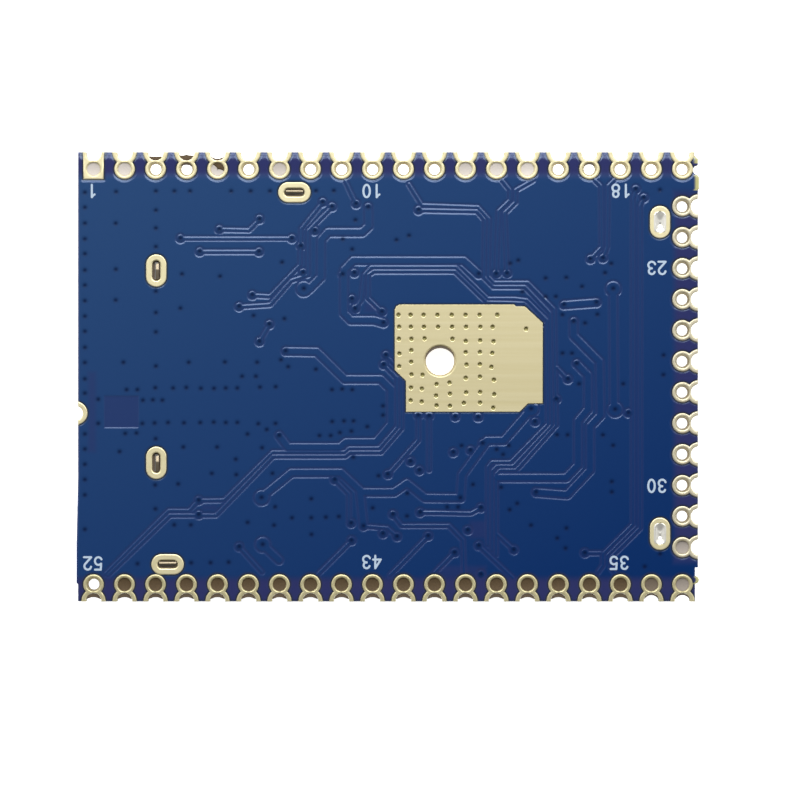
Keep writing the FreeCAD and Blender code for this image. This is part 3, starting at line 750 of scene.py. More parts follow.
def add_piece(name, part, material, smooth=None, replaces=(), attributes=None):
    """Mesh object that rides on the body. smooth says which faces are smooth: all if it is None."""
    points, triangles = part
    mesh = bpy.data.meshes.new(name)
    mesh.vertices.add(len(points))
    mesh.vertices.foreach_set("co", points.astype(np.float32).ravel())
    mesh.loops.add(triangles.size)
    mesh.loops.foreach_set("vertex_index", triangles.astype(np.int32).ravel())
    mesh.polygons.add(len(triangles))
    mesh.polygons.foreach_set("loop_start", np.arange(0, triangles.size, 3, dtype=np.int32))
    mesh.update(calc_edges=True)
    mesh.polygons.foreach_set("use_smooth", np.ones(len(triangles), bool) if smooth is None else smooth)
    for key, values in (attributes or {}).items():
        mesh.attributes.new(key, "FLOAT", "POINT").data.foreach_set("value", values.astype(np.float32))
    mesh.materials.append(material)
    mesh.validate()
    obj = bpy.data.objects.new(name, mesh)
    bpy.context.scene.collection.objects.link(obj)
    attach(obj, "root")
    if replaces:
        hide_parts(*replaces)
    return obj


def wall_shade_of(points):
    """How much painted shade darkens the plating towards brown at each point: it grows with the depth
    below the nearer face.
    """
    depth = np.minimum(land_top - points[:, 2], points[:, 2] - board_low) - wall_shade_start
    return {"painted_wall_shade": np.clip(depth / wall_shade_reach, 0, 1)}


def add_plating(name, flats, curved, gold, replaced):
    """Plated piece out of flat faces and of rims and walls, which alone are shaded smooth."""
    flats, curved = joined(flats), joined(curved)
    smooth = np.repeat([False, True], [len(flats[1]), len(curved[1])])
    part = joined([flats, curved])
    add_piece(name, part, gold, smooth, [replaced], wall_shade_of(part[0]))


# Finishes


def fill(tree, made, sockets):
    """Gives each named socket of a node a value, or links it to an output. A colour of three parts
    becomes an opaque one."""
    for key, given in sockets.items():
        socket = made.inputs[key]
        if hasattr(given, "is_output"):
            tree.links.new(given, socket)
        elif socket.type == "RGBA":
            socket.default_value = (*given, 1)
        else:
            socket.default_value = given


def node(tree, kind, sockets=None, **settings):
    """Adds a shader node, sets its properties and fills its sockets."""
    made = tree.nodes.new(kind)
    for key, value in settings.items():
        setattr(made, key, value)
    fill(tree, made, sockets or {})
    return made


def new_finish(name):
    """Empty material with its shader and output."""
    material = bpy.data.materials.new(name)
    material.use_nodes = True
    tree = material.node_tree
    tree.nodes.clear()
    shader = node(tree, "ShaderNodeBsdfPrincipled")
    node(tree, "ShaderNodeOutputMaterial", {"Surface": shader.outputs[0]})
    return material, tree, shader


def covered(tree, colour, attribute, over):
    """Colour that gives way to another where the piece's attribute says so."""
    share = node(tree, "ShaderNodeAttribute", attribute_name=attribute).outputs["Fac"]
    return node(tree, "ShaderNodeMix", {"Factor": share, 6: colour, 7: over}, data_type="RGBA").outputs[2]


def grained(name, scale, colours, roughness, bump, detail=3.0, cover=None, **values):
    """Finish whose colour and fine relief follow one noise pattern. scale says how often the pattern
    repeats in a metre along each axis, colours are its two ends, and bump is the relief's height. cover
    is an attribute with the colour that it brings, and values are more of the shader's own."""
    material, tree, shader = new_finish(name)
    place = node(tree, "ShaderNodeTexCoord").outputs["Object"]
    place = node(tree, "ShaderNodeMapping", {"Vector": place, "Scale": scale}).outputs[0]
    grain = node(tree, "ShaderNodeTexNoise", {"Vector": place, "Scale": 1.0, "Detail": detail}).outputs["Fac"]
    mix = {"Factor": grain, 6: colours[0], 7: colours[1]}
    colour = node(tree, "ShaderNodeMix", mix, data_type="RGBA").outputs[2]
    if cover:
        colour = covered(tree, colour, *cover)
    fill(tree, shader, {"Base Color": colour, "Roughness": roughness})
    fill(tree, shader, {key.replace("_", " "): value for key, value in values.items()})
    if bump:
        relief = node(tree, "ShaderNodeBump", {"Height": grain, "Distance": bump, "Strength": 1.0})
        fill(tree, shader, {"Normal": relief.outputs[0]})
    return material


def solder_mask(colours):
    """Glossy blue liquid mask: deep blue over copper, purple where only laminate lies below, and bare
    olive laminate where it is broken off. It pales evenly towards the top left corner, a painted light and
    shade."""
    material, tree, shader = new_finish("solder_mask")
    place = node(tree, "ShaderNodeTexCoord").outputs["Object"]
    # Painted light and shade: the mask pales towards the top left
    slant = {0: place, 1: (mask_light_slant[0] / half_length, mask_light_slant[1] / half_width, 0)}
    share = node(tree, "ShaderNodeVectorMath", slant, operation="DOT_PRODUCT").outputs["Value"]
    share = node(tree, "ShaderNodeMath", {0: share, 1: 0.5}, operation="ADD").outputs[0]
    mix = {"Factor": share, 6: colours.mask_pale, 7: colours.mask_deep}
    over_copper = node(tree, "ShaderNodeMix", mix, data_type="RGBA").outputs[2]
    colour = covered(tree, colours.mask_bare, "copper", over_copper)
    # Painted shade: dark dots over covered vias and a dark line along the lower edge
    colour = covered(tree, colour, "dip", linear("020C2C"))
    # The bare gap round each land, darkened with painted shade
    colour = covered(tree, colour, "bare_gap_shade", linear("24271F"))
    colour = covered(tree, colour, "laminate", colours.laminate)
    # Lacquer dries with ripples half a millimetre apart and under a micron high
    noise = {"Vector": place, "Scale": 1 / (0.5 * MM), "Detail": 3.0}
    ripple = node(tree, "ShaderNodeTexNoise", noise).outputs["Fac"]
    relief = node(tree, "ShaderNodeBump", {"Height": ripple, "Distance": 0.0008 * MM, "Strength": 1.0})
    fill(tree, shader, {
        "Base Color": colour, "Roughness": 0.22, "Specular IOR Level": 0.5,
        "Specular Tint": (0.6, 0.74, 1.0), "Normal": relief.outputs[0],
    })
    return material


def laminate_finish(colours):
    """Glass-epoxy laminate cut by a router: olive, matt, with the glass layers showing as fine lines."""
    # The layers are 0.11 mm thick
    ends = (linear("7E7A4C"), colours.laminate)
    return grained("glass_epoxy_laminate", (300, 300, 9000), ends, 0.7, 0, detail=2.0)


def gold_finish(colours, name="immersion_gold", tint=(1, 1, 1), brushed=False):
    """Immersion gold over nickel over copper: pale yellow, satin, slightly uneven, and darkened to brown
    by painted shade where the piece's attribute says so, down in the holes. The tint darkens a whole
    copy: for a row, painted shade where it lies further from the light; for the heat land, its own duller
    tone."""
    # Brushing leaves streaks about 12 mm long and 0.3 mm apart, plating alone grains of 0.4 mm
    stretch, bump = ((80, 3500, 3000), 0.002) if brushed else ((2500, 2500, 2500), 0.003)
    ends = [[c * t for c, t in zip(shade, tint)] for shade in (linear("D2C89E"), colours.gold)]
    # Painted shade: the gold goes brown down the walls of holes
    cover = ("painted_wall_shade", linear("9C8752"))
    return grained(name, stretch, ends, 0.52, bump * MM, cover=cover, Metallic=1.0)


def painted_sheet_finish():
    """Painted shade for the sheets in holes and slots: matt brown, going to a pale pinkish grey of painted
    light where the piece's attribute says so."""
    ends, cover = (linear("38290F"), linear("523F22")), ("pale", linear("C0B9B3"))
    return grained("painted_light_and_shade", (1 / (0.12 * MM),) * 3, ends, 0.75, 0.01 * MM, cover=cover)


def metal(name, colour, roughness, grain_mm=0.3, bump_mm=0.002):
    """Plain metal with a slight unevenness."""
    ends = ([0.82 * c for c in linear(colour)], linear(colour))
    return grained(name, (1 / (grain_mm * MM),) * 3, ends, roughness, bump_mm * MM, Metallic=1.0)


def moulded(name, colour, roughness, grain_mm=0.08, bump_mm=0.004, **values):
    """Moulded or fired part: even colour with a fine grain."""
    ends = ([0.8 * c for c in linear(colour)], linear(colour))
    return grained(name, (1 / (grain_mm * MM),) * 3, ends, roughness, bump_mm * MM, 2.0, **values)


# Relief of the mask


def ease(value):
    """Smooth step from 0 to 1 for values from -1 to 1."""
    t = np.clip(value / 2 + 0.5, 0, 1)
    return t * t * (3 - 2 * t)


def box_distance(x, y, low_x, low_y, high_x, high_y):
    """Signed distance to a box, negative inside."""
    dx = np.maximum(low_x - x, x - high_x)
    dy = np.maximum(low_y - y, y - high_y)
    return np.hypot(np.maximum(dx, 0), np.maximum(dy, 0)) + np.minimum(np.maximum(dx, dy), 0)


def oval_distance(x, y, centre_x, centre_y, length, width, upright):
    """Signed distance to a slot outline."""
    u, v = (y - centre_y, x - centre_x) if upright else (x - centre_x, y - centre_y)
    reach = (length - width) / 2
    return np.hypot(np.maximum(np.abs(u) - reach, 0), v) - width / 2


def edge_x(y):
    """Left and right edge of the board at height y."""
    right = np.full(y.shape, half_length)
    stub = (y < stub_high) & (y > stub_low)
    right[stub] = half_length + np.minimum(stub_out, np.minimum(stub_high - y[stub], y[stub] - stub_low))
    right[y < recess_y] = half_length - recess_in
    for middle, radius, way in ((bite[1], bite_r, -1), (nub_y, nub_r, 1)):
        inside = np.abs(y - middle) < radius
        right[inside] += way * np.sqrt(radius**2 - (y[inside] - middle) ** 2)
    right = np.where(y > half_width - corner_cut, half_length - (y - (half_width - corner_cut)), right)
    ends = [bulge_low - bulge_out, bulge_low, bulge_mid, bulge_high]
    bulge = np.interp(y, ends, [0, bulge_out, bulge_out, 0])
    return -half_length - bulge, right


def land_distance(x, y):
    """Signed distance to the nearest land of the terminals, the aerial contact and the slots, and a
    second one to the terminals alone. Along a row, the nearest terminal is found by rounding."""
    best = np.full(x.shape, 1.0)
    rows = (
        (x, half_width - y, long_row, long_inset),
        (x, half_width + y, long_row, long_inset),
        (y, half_length - x, side_row, side_inset),
    )
    for u, v, places, inset in rows:
        low, high = min(places), max(places)
        near = np.clip(low + np.round((u - low) / pitch) * pitch, low, high)
        ring = np.hypot(u - near, v - inset) - ring_land_r
        edge = np.hypot(u - near, v - inset + hole_to_half_hole) - edge_land_r
        best = np.minimum(best, np.minimum(ring, edge))
    square = square_land / 2
    top = half_width - long_inset - square
    best = np.minimum(best, box_distance(x, y, long_row[0] - square, top, long_row[0] + square, half_width))
    terminals = best.copy()
    best = np.minimum(best, np.hypot(x + half_length + aerial_outside, y - aerial_y) - aerial_land_r)
    for slot_x, slot_y, upright in slots:
        land = (slot_length + 2 * slot_rim, slot_width + 2 * slot_rim)
        best = np.minimum(best, oval_distance(x, y, slot_x, slot_y, *land, upright))
    return best, terminals


def loop_distance(x, y, loop):
    """Signed distance to a closed loop, negative inside: nearest edge, and an even-odd count."""
    distance = np.full(x.shape, 1.0)
    inside = np.zeros(x.shape, bool)
    for (ax, ay), (bx, by) in zip(loop, np.roll(loop, -1, axis=0)):
        dx, dy = bx - ax, by - ay
        t = np.clip(((x - ax) * dx + (y - ay) * dy) / (dx * dx + dy * dy), 0, 1)
        distance = np.minimum(distance, np.hypot(x - ax - t * dx, y - ay - t * dy))
        crosses = (ay > y) != (by > y)
        if dy:
            inside ^= crosses & (x < ax + (y - ay) / dy * dx)
    return np.where(inside, -distance, distance)


def near_lines(x, y, lines, reach):
    """Distance to the nearest of the broken lines, worked out only within reach of each piece."""
    distance = np.full(x.shape, reach)
    xs, ys = x[0], y[:, 0]
    for line in lines:
        for (ax, ay), (bx, by) in zip(line[:-1], line[1:]):
            c0, c1 = np.searchsorted(xs, (min(ax, bx) - reach, max(ax, bx) + reach))
            r0, r1 = np.searchsorted(ys, (min(ay, by) - reach, max(ay, by) + reach))
            px, py = x[r0:r1, c0:c1], y[r0:r1, c0:c1]
            dx, dy = bx - ax, by - ay
            t = np.clip(((px - ax) * dx + (py - ay) * dy) / (dx * dx + dy * dy + 1e-18), 0, 1)
            here = np.hypot(px - ax - t * dx, py - ay - t * dy)
            distance[r0:r1, c0:c1] = np.minimum(distance[r0:r1, c0:c1], here)
    return distance


def copper_below(x, y, terminals, from_left, sizes):
    """Copper below each point, from 0 to 1, and how much of the colour over copper shows there.

    Copper lies where the point is inside a track or pad, or in the pour and outside the gap round all
    of them. Each edge is an eased step of the slope's width.
    """
    reach = 1.2 * MM
    drawn = (
        (thin_tracks, sizes.thin_track / 2),
        (wide_tracks, sizes.wide_track / 2),
        ([[v, v] for v in signal_vias], sizes.via_pad_r),
        ([[v, v] for v in big_vias], big_pad_share * sizes.via_pad_r),
    )
    trace = np.minimum.reduce([near_lines(x, y, lines, reach) - half for lines, half in drawn])
    half = sizes.slope / 2
    box, *soft_boxes = bare_boxes
    boxes = ease(box_distance(x, y, *box) / half)
    soft = np.minimum.reduce([ease(box_distance(x, y, *box) / soft_box_half) for box in soft_boxes])
    pour = ease((half_width - np.abs(y) - pour_stop) / pour_stop_half)
    pour *= np.maximum(ease((half_length - x - pour_stop) / pour_stop_half),
                       ease((np.abs(y) - pour_corner) / pour_corner_half))
    pour *= ease((from_left - pour_left) / pour_left_half)
    clear = ease(np.minimum(trace - sizes.gap, terminals - sizes.land_gap) / half)
    track = ease(-trace / half)
    copper = np.maximum(pour * clear * boxes, track)
    # The eye sees less of the laminate's colour in a narrow gap and in the bare boxes
    shown = pour * (1 - narrow_gap_tint * (1 - clear)) * (1 - box_tint * (1 - boxes * soft))
    return copper, np.maximum(shown, track)


def mask_relief(x, y, sizes):
    """Height of the mask at each point of the grid, its shades (copper below, painted shade in the dip of a
    via and along the lower edge, the bare gap round a land with painted shade, bare laminate), and the
    distances to the lands and to the heat land.

    The height is the lands', less a step where no copper lies below, a bell-shaped dip over each covered
    via, and eased drops round the lands and along the board's edge.
    """
    lands, terminals = land_distance(x, y)
    heat = loop_distance(x, y, np.array(heat_outline))
    left, right = edge_x(y[:, 0])
    from_left, from_right = x - left[:, None], right[:, None] - x
    copper, shown = copper_below(x, y, terminals, from_left, sizes)
    # Painted shade: a dark dot over each covered via
    dip, dark = np.zeros(x.shape), np.zeros(x.shape)
    covered_vias = ((ground_vias, sizes.dip_r), (signal_vias + big_vias, signal_dip_share * sizes.dip_r))
    for places, radius in covered_vias:
        away = near_lines(x, y, [[v, v] for v in places], dip_reach * radius) / radius
        near = away < dip_reach
        dip = np.maximum(dip, np.where(near, np.exp(-dip_fade * away**2), 0))
        dark = np.maximum(dark, np.where(near, via_shade * np.exp(-shade_fade * away**2), 0))
    # Painted shade: a dark line along the lower edge
    low_edge = 1 - ease((y + half_width - low_edge_half) / low_edge_half)
    dark = np.maximum(dark, low_edge_shade * low_edge)
    opening = ease((np.minimum(lands, heat) - sizes.mask_opening) / (opening_share * sizes.mask_opening))
    step = sizes.copper_height * (1 - low_relief * (half_width - y) / (2 * half_width))
    z = land_top - step * (1 - copper) - opening_drop * (1 - opening) - sizes.dip_depth * dip
    to_edge = np.minimum(half_width - np.abs(y), np.minimum(from_left, from_right))
    z -= edge_drop * (1 - ease((to_edge - edge_half) / edge_half))
    z -= top_drop * (1 - ease((half_width - y - top_middle) / top_half))
    # Where the right edge is broken off or cut: along which part, how far in, and half the soft edge
    broken = (
        ((y < stub_high + 0.05 * MM) & (y > stub_low - 0.05 * MM), 0.26 * MM, 0.1 * MM),
        (y > half_width - corner_cut - 0.3 * MM, 0.22 * MM, 0.12 * MM),
        (np.abs(y - nub_y) < nub_r, 0.2 * MM, 0.08 * MM),
    )
    laminate = np.zeros(x.shape)
    for place, depth, half in broken:
        laminate = np.maximum(laminate, np.where(place, ease((depth - from_right) / half), 0))
    shades = {"copper": shown, "dip": dark, "bare_gap_shade": outline_shade * (1 - opening), "laminate": laminate}
    return z, shades, (lands, heat)


class MODULE_OT_solder_mask(bpy.types.Operator):
    """Relief of the mask over tracks and vias, and the laminate below it"""

    bl_idname = "module.solder_mask"
    bl_label = "Board and solder mask"

    def execute(self, context):
        sizes, colours = context.scene.module_sizes, context.scene.module_colours
        rows = int(round(2 * half_width / sizes.grid_step))
        wide = half_length + 2 * bulge_out
        columns = int(round(2 * wide / sizes.grid_step))
        xs, ys = np.linspace(-wide, wide, columns + 1), np.linspace(-half_width, half_width, rows + 1)
        x, y = np.meshgrid(xs, ys)
        z, shades, (lands, heat) = mask_relief(x, y, sizes)
        left, right = (edge[:, None] for edge in edge_x(ys))
        outside = (x < left) | (x > right)
        outside[0] = outside[-1] = True
        core_top = land_top - sizes.copper_height - core_drop
        grid = np.stack([np.clip(x, left, right), y, np.where(outside, core_top, z)], axis=2)
        mid_x, cell_land, cell_heat = (
            (values[:-1, :-1] + values[1:, 1:]) / 2 for values in (grid[:, :, 0], lands, heat))
        keep = (cell_land > -land_overlap) & (cell_heat > -heat_overlap)
        keep &= (mid_x > left[:-1]) & (mid_x < right[:-1])
        material = solder_mask(colours)
        cuts = np.linspace(0, rows, mask_tiles + 1).astype(int)
        number = np.arange(x.size).reshape(x.shape)
        for tile, (first, last) in enumerate(zip(cuts[:-1], cuts[1:]), 1):
            chosen = np.zeros(keep.shape, bool)
            chosen[first:last] = keep[first:last]
            a, b = number[:-1, :-1][chosen], number[:-1, 1:][chosen]
            c, d = number[1:, 1:][chosen], number[1:, :-1][chosen]
            triangles = np.vstack([np.stack([a, b, c], axis=1), np.stack([a, c, d], axis=1)])
            used, packed = np.unique(triangles, return_inverse=True)
            part = grid.reshape(-1, 3)[used], packed.reshape(triangles.shape)
            attributes = {key: values.ravel()[used] for key, values in shades.items()}
            add_piece(f"solder_mask_{tile}", part, material, attributes=attributes)
        self.add_core(colours, core_top)
        return {"FINISHED"}

    def add_core(self, colours, core_top):
        """Laminate with its holes: a sheet above, a sheet below, and the walls of the outline and holes."""
        outline = board_outline()
        row = half_width - long_inset
        holes = [circle(x, y, pin_hole_r, 28) for x in long_row for y in (-row, row)]
        holes += [circle(half_length - side_inset, y, pin_hole_r, 28) for y in side_row]
        holes += [oval(*centre, slot_length, slot_width, upright) for *centre, upright in slots]
        holes.append(circle(*heat_hole, heat_hole_r, heat_hole_points))
        low = board_low + core_lift
        walls = [band([at_height(outline, core_top), at_height(outline, low)])]
        walls += [flipped(band([at_height(hole, core_top), at_height(hole, low)])) for hole in holes]
        core = joined([filled(outline, holes, core_top), *walls])
        flat = np.zeros(len(core[1]), bool)
        add_piece("laminate", core, laminate_finish(colours), flat, ["board"])
        face = flipped(filled(outline, holes, low))
        material = moulded("solder_mask_component_side", "16407C", 0.3, 0.6, 0.002)
        add_piece("component_side_mask", face, material, np.zeros(len(face[1]), bool))


class MODULE_OT_terminals(bpy.types.Operator):
    """Gold terminals of the three rows and the aerial contact, each plated through its holes"""

    bl_idname = "module.terminals"
    bl_label = "Plated terminals"

    def one(self, loop, inset, sizes):
        """One terminal: lands above and below, the pin hole's barrel and the half hole's wall."""
        hole = circle(0, inset, pin_hole_r, 36)
        flat, rims = land_with_holes(loop, [hole], sizes.rim, upper_foot, on_cut_edge(loop))
        inside = barrel(hole, upper_foot, lower_foot, (0, inset), sizes.waist)
        wall = flipped(barrel(loop[-bay_points:], upper_foot, lower_foot, closed=False))
        return joined([flat, under(flat)]), joined([rims, under(rims), inside, wall])

    def execute(self, context):
        sizes, colours = context.scene.module_sizes, context.scene.module_colours
        kinds = {
            "long": self.one(terminal_loop(long_inset), long_inset, sizes),
            "square": self.one(square_loop(long_inset), long_inset, sizes),
            "side": self.one(terminal_loop(side_inset), side_inset, sizes),
        }
        top_kinds = ["square"] + ["long"] * (len(long_row) - 1)
        # Each row with its tint, a painted shade: rows further from the light are darker copies of one gold
        rows = {
            "top_row": ((1, 1, 1), [(x, half_width, 180, kind) for x, kind in zip(long_row, top_kinds)]),
            "side_row": ((0.84, 0.85, 0.98), [(half_length, y, 90, "side") for y in side_row]),
            "bottom_row": ((0.76, 0.76, 0.72), [(x, -half_width, 0, "long") for x in long_row]),
        }
        for name, (tint, places) in rows.items():
            flats, curved = (
                [placed(kinds[kind][k], x, y, turn) for x, y, turn, kind in places] for k in (0, 1))
            gold = gold_finish(colours, f"immersion_gold_{name}", tint)
            add_plating(f"{name}_terminals", flats, curved, gold, f"{name}_pins")
        self.add_aerial_contact(gold_finish(colours), sizes.rim)
        self.add_painted_sheets()
        return {"FINISHED"}

    def add_aerial_contact(self, gold, rim):
        """Land and wall of the half hole on the left edge, both cut off by the edge."""
        tip = math.degrees(math.asin(aerial_outside / aerial_land_r))
        lean = math.degrees(math.asin(aerial_outside / aerial_hole_r))
        bay = arc(0, -aerial_outside, aerial_hole_r, 180 - lean, -180 + 2 * lean, 20)
        loop = np.vstack([arc(0, -aerial_outside, aerial_land_r, tip, 180 - 2 * tip, 30), bay])
        flat, rims = land_with_holes(loop, [], rim, upper_foot, on_cut_edge(loop))
        wall = flipped(barrel(bay, upper_foot, lower_foot, closed=False))
        flats, curved = (
            [placed(part, -half_length, aerial_y, -90) for part in group]
            for group in ((flat, under(flat)), (rims, under(rims), wall)))
        add_plating("aerial_contact", flats, curved, gold, "aerial_edge_pin")

    def add_painted_sheets(self):
        """Sheets of painted shade and light that close some holes and slots: a shallow cup whose height grows
        with the square of the way out from the middle. On other walls painted shade hangs as a fringe whose
        width runs out as the root of a cosine to both sides."""
        hole_shares, slot_shares = (1.0, 0.8, 0.55, 0.3, 0.0), (1.0, 0.75, 0.5, 0.25, 0.0)
        cups = [((x, y), circle(x, y, painted_sheet_fit * pin_hole_r, 24), hole_shares, depth, pale)
                for x, y, depth, pale in painted_sheet_places()]
        for x, y, upright in slots[:4]:
            wall = oval(x, y, slot_length, slot_width, upright, 18)
            cups.append(((x, y), wall, slot_shares, slot_painted_sheet_depth, slot_paleness))
        parts, paleness = [], []
        for middle, wall, shares, depth, pale in cups:
            parts.append(band([
                at_height(middle + share * (wall - middle), land_top - depth - painted_sheet_sag * (1 - share**2))
                for share in shares]))
            paleness.append(pale)
        taper = np.sqrt(np.abs(np.cos(np.linspace(-math.pi / 2, math.pi / 2, 21))))[:, None]
        for x, y, radius, middle, reach, width, depth, pale in wall_shade_fringes():
            ring = arc(0, 0, 1, middle - reach, 2 * reach, len(taper))
            rows = []
            for share in (0.0, 0.5, 1.0):
                row = (x, y) + ring * (fringe_fit * radius - share * width * taper)
                rows.append(at_height(row, land_top - depth - fringe_sag * share**2))
            parts.append(band(rows, closed=False))
            paleness.append(pale)
        pale = np.repeat(paleness, [len(part[0]) for part in parts])
        sheets = joined([flipped(part) for part in parts])
        add_piece("painted_light_and_shade_sheets", sheets, painted_sheet_finish(), attributes={"pale": pale})


class MODULE_OT_shield_slots(bpy.types.Operator):
    """Plated slots round the legs of the shield, and the solder in two of them"""

    bl_idname = "module.shield_slots"
    bl_label = "Plated slots and solder"

    def execute(self, context):
        sizes = context.scene.module_sizes
        gold = gold_finish(context.scene.module_colours, "immersion_gold_slots")
        flats, curved = [], []
        for x, y, upright in slots:
            outer = oval(x, y, slot_length + 2 * slot_rim, slot_width + 2 * slot_rim, upright, 26)
            hole = oval(x, y, slot_length, slot_width, upright, 18)
            flat, rims = land_with_holes(outer, [hole], sizes.rim, upper_foot)
            flats += [flat, under(flat)]
            curved += [rims, under(rims), barrel(hole, upper_foot, lower_foot, (x, y))]
        add_plating("plated_slots", flats, curved, gold, "shield_slots")
        self.add_leg_tips()
        self.add_solder()
        return {"FINISHED"}

    def add_leg_tips(self):
        """Tips of the four legs without solder: level up to a bend, and beyond it sloping down towards
        the top row, so that only this part is bright. A parabola rounds them."""
        u, v = np.meshgrid(np.linspace(-1, 1, 25), np.linspace(-1, 1, 11))
        along, across = u * leg_width / 2, v * leg_sheet / 2 + leg_lean
        tips = []
        for x, y, upright in slots[:4]:
            north, bend = (along, leg_bend) if upright else (across, leg_lean)
            z = leg_top + leg_dome - leg_slope * np.maximum(north - bend, 0) - leg_rounding * (u**2 + v**2)
            place = (x + across, y + along, z) if upright else (x + along, y + across, z)
            tip = band(list(np.stack(place, axis=2)), closed=False)
            tips.append(tip if upright else flipped(tip))
        add_piece("leg_tips", joined(tips), metal("tinned_leg_tip", "7E7462", 0.42, 0.15, 0.002))

    def add_solder(self):
        """Solder fill: a shallow bowl from the slot's middle to its wall, whose depth falls with the
        square of the way out, with a small pit below the middle and a faint wave, and a thin skin that
        has crept over the land to both sides."""
        fills = []
        for x, y, upright in slots[-2:]:
            wall = oval(x, y, slot_length, slot_width, upright, 18)
            rows = []
            for share in np.linspace(0.02, 1.0, 15):
                row = (x, y) + share * (wall - (x, y))
                u, v = (row[:, 1] - y) / slot_length, (row[:, 0] - x) / slot_width
                pit = np.exp(-((u - pit_place) / pit_length) ** 2 - (v / pit_width) ** 2)
                sink = solder_bowl + solder_pit * pit - solder_wave * np.sin(solder_turns * u + y / MM)
                rows.append(np.column_stack([row, land_top + solder_lift - sink * (1 - share**2)]))
            sideways = np.clip(np.abs(wall[:, 0] - x) / (slot_width / 2), 0, 1)[:, None]
            outwards = solder_creep * sideways * (grown(wall, MM) - wall) / MM
            # Skin on the land: share of the way out, and height in millimetres
            for share, height in ((0.4, 0.018), (0.8, 0.014), (1.0, -0.003)):
                rows.append(at_height(wall + share * outwards, land_top + height * MM))
            fills.append(band(rows))
        solder = metal("bright_solder", "E4E2DA", 0.5, 0.25, 0.006)
        add_piece("slot_solder", joined(fills), solder, replaces=["shield_solder"])


class MODULE_OT_heat_land(bpy.types.Operator):
    """Wide land under the main chip, with its small vias and the large plated hole"""

    bl_idname = "module.heat_land"
    bl_label = "Heat land"

    def execute(self, context):
        sizes, colours = context.scene.module_sizes, context.scene.module_colours
        gold = gold_finish(colours, "immersion_gold_heat_land", (0.88, 0.87, 0.84), True)
        outer = np.array(heat_outline)
        if np.sum(outer[:, 0] * np.roll(outer[:, 1], -1) - np.roll(outer[:, 0], -1) * outer[:, 1]) < 0:
            outer = outer[::-1]
        hole = circle(*heat_hole, heat_hole_r, heat_hole_points)
        wells = [circle(*via, heat_via_r, 12) for via in heat_vias]
        openings = [grown(hole, sizes.rim)] + [grown(well, heat_via_rim) for well in wells]
        flat = filled(grown(outer, -heat_rim), openings, land_top)
        curved = [
            rounded_edge(outer, heat_rim, land_top, upper_foot, -1),
            rounded_edge(hole, sizes.rim, land_top, upper_foot, 1),
            barrel(hole, upper_foot, heat_wall_low, heat_hole, 0.9 * sizes.waist),
        ]
        for well, (x, y) in zip(wells, heat_vias):
            is_open = x > heat_open_from or round(y / heat_row_step) % 2
            floor = land_top - (heat_via_open if is_open else heat_via_filled)
            curved += [rounded_edge(well, heat_via_rim, land_top, floor, 1), filled(well, [], floor)]
        add_plating("heat_land_face", [flat], curved, gold, "heat_land")
        return {"FINISHED"}


class MODULE_OT_figures(bpy.types.Operator):
    """Printed pin numbers, which stand upside down in this view"""

    bl_idname = "module.figures"
    bl_label = "Printed pin numbers"

    def execute(self, context):
        ink = moulded("white_ink", "A3B4C6", 0.6, 0.12, 0.004)
        for text, (x0, y0, x1, y1) in figures.items():
            (left, top), (right, bottom) = spot(x0, y0), spot(x1, y1)
            parts = []
            for k, figure in enumerate(text):
                for layer, stroke in enumerate(figure_strokes[figure]):
                    line = np.array(stroke) * figure_height
                    line[:, 0] += (k - (len(text) - 1) / 2 - figure_middle) * figure_step
                    line[:, 1] -= figure_height / 2
                    flat, faces = ribbon(line, ink_width)
                    # Strokes that cross lie on one another, as wet ink does, and not in one plane
                    parts.append((at_height(flat, land_top + ink_height + layer * ink_layer), faces))
            part = placed(joined(parts), (left + right) / 2, (top + bottom) / 2, 180)
            add_piece(f"pin_number_{text}", part, ink, np.zeros(len(part[1]), bool))
        return {"FINISHED"}


class MODULE_OT_carried_parts(bpy.types.Operator):
    """Finishes of the shield and of the parts under it, which keep their CAD shapes"""

    bl_idname = "module.carried_parts"
    bl_label = "Shield and parts"

    def execute(self, context):
        moulding = moulded("black_epoxy_moulding", "1B1B1D", 0.55)
        capacitor = moulded("fired_tan_ceramic", "A9825C", 0.45)
        contact = metal("gold_plated_brass", "E0C878", 0.3)
        # The photograph shows the main chip's pad blown out to white at the bottom of the large hole,
        # so its frosted tin glows a little
        pad = moulded("frosted_tin_pad", "F4F2EE", 0.8, Emission_Color=(1, 1, 1), Emission_Strength=0.9)
        finishes = {
            "shield_can": metal("tinplate", "C9C8C4", 0.32, 0.8, 0.002),
            "main_chip": moulding, "memory_chip": moulding, "flash_chip": moulding,
            "regulators": moulding, "radio_chip": moulding,
            "main_chip_pad": pad,
            "flash_leads": metal("tinned_leads", "C4C3BE", 0.35),
            "crystal": metal("nickel_lid", "CFCAB8", 0.3),
            "power_coils": moulded("sintered_ferrite", "35353A", 0.7),
            "radio_filters": moulded("white_fired_ceramic", "DAD8D0", 0.5),
            "capacitors": capacitor, "aerial_matching": capacitor,
            "resistors": moulded("black_glazed_film", "222225", 0.35),
            "socket_base": moulded("pale_liquid_crystal_polymer", "E2DDC8", 0.5),
            "socket_ring": contact, "socket_contact": contact,
        }
        for name, finish in finishes.items():
            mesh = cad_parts[name].data
            if mesh.materials:
                for k in range(len(mesh.materials)):
                    mesh.materials[k] = finish
            else:
                mesh.materials.append(finish)
        return {"FINISHED"}


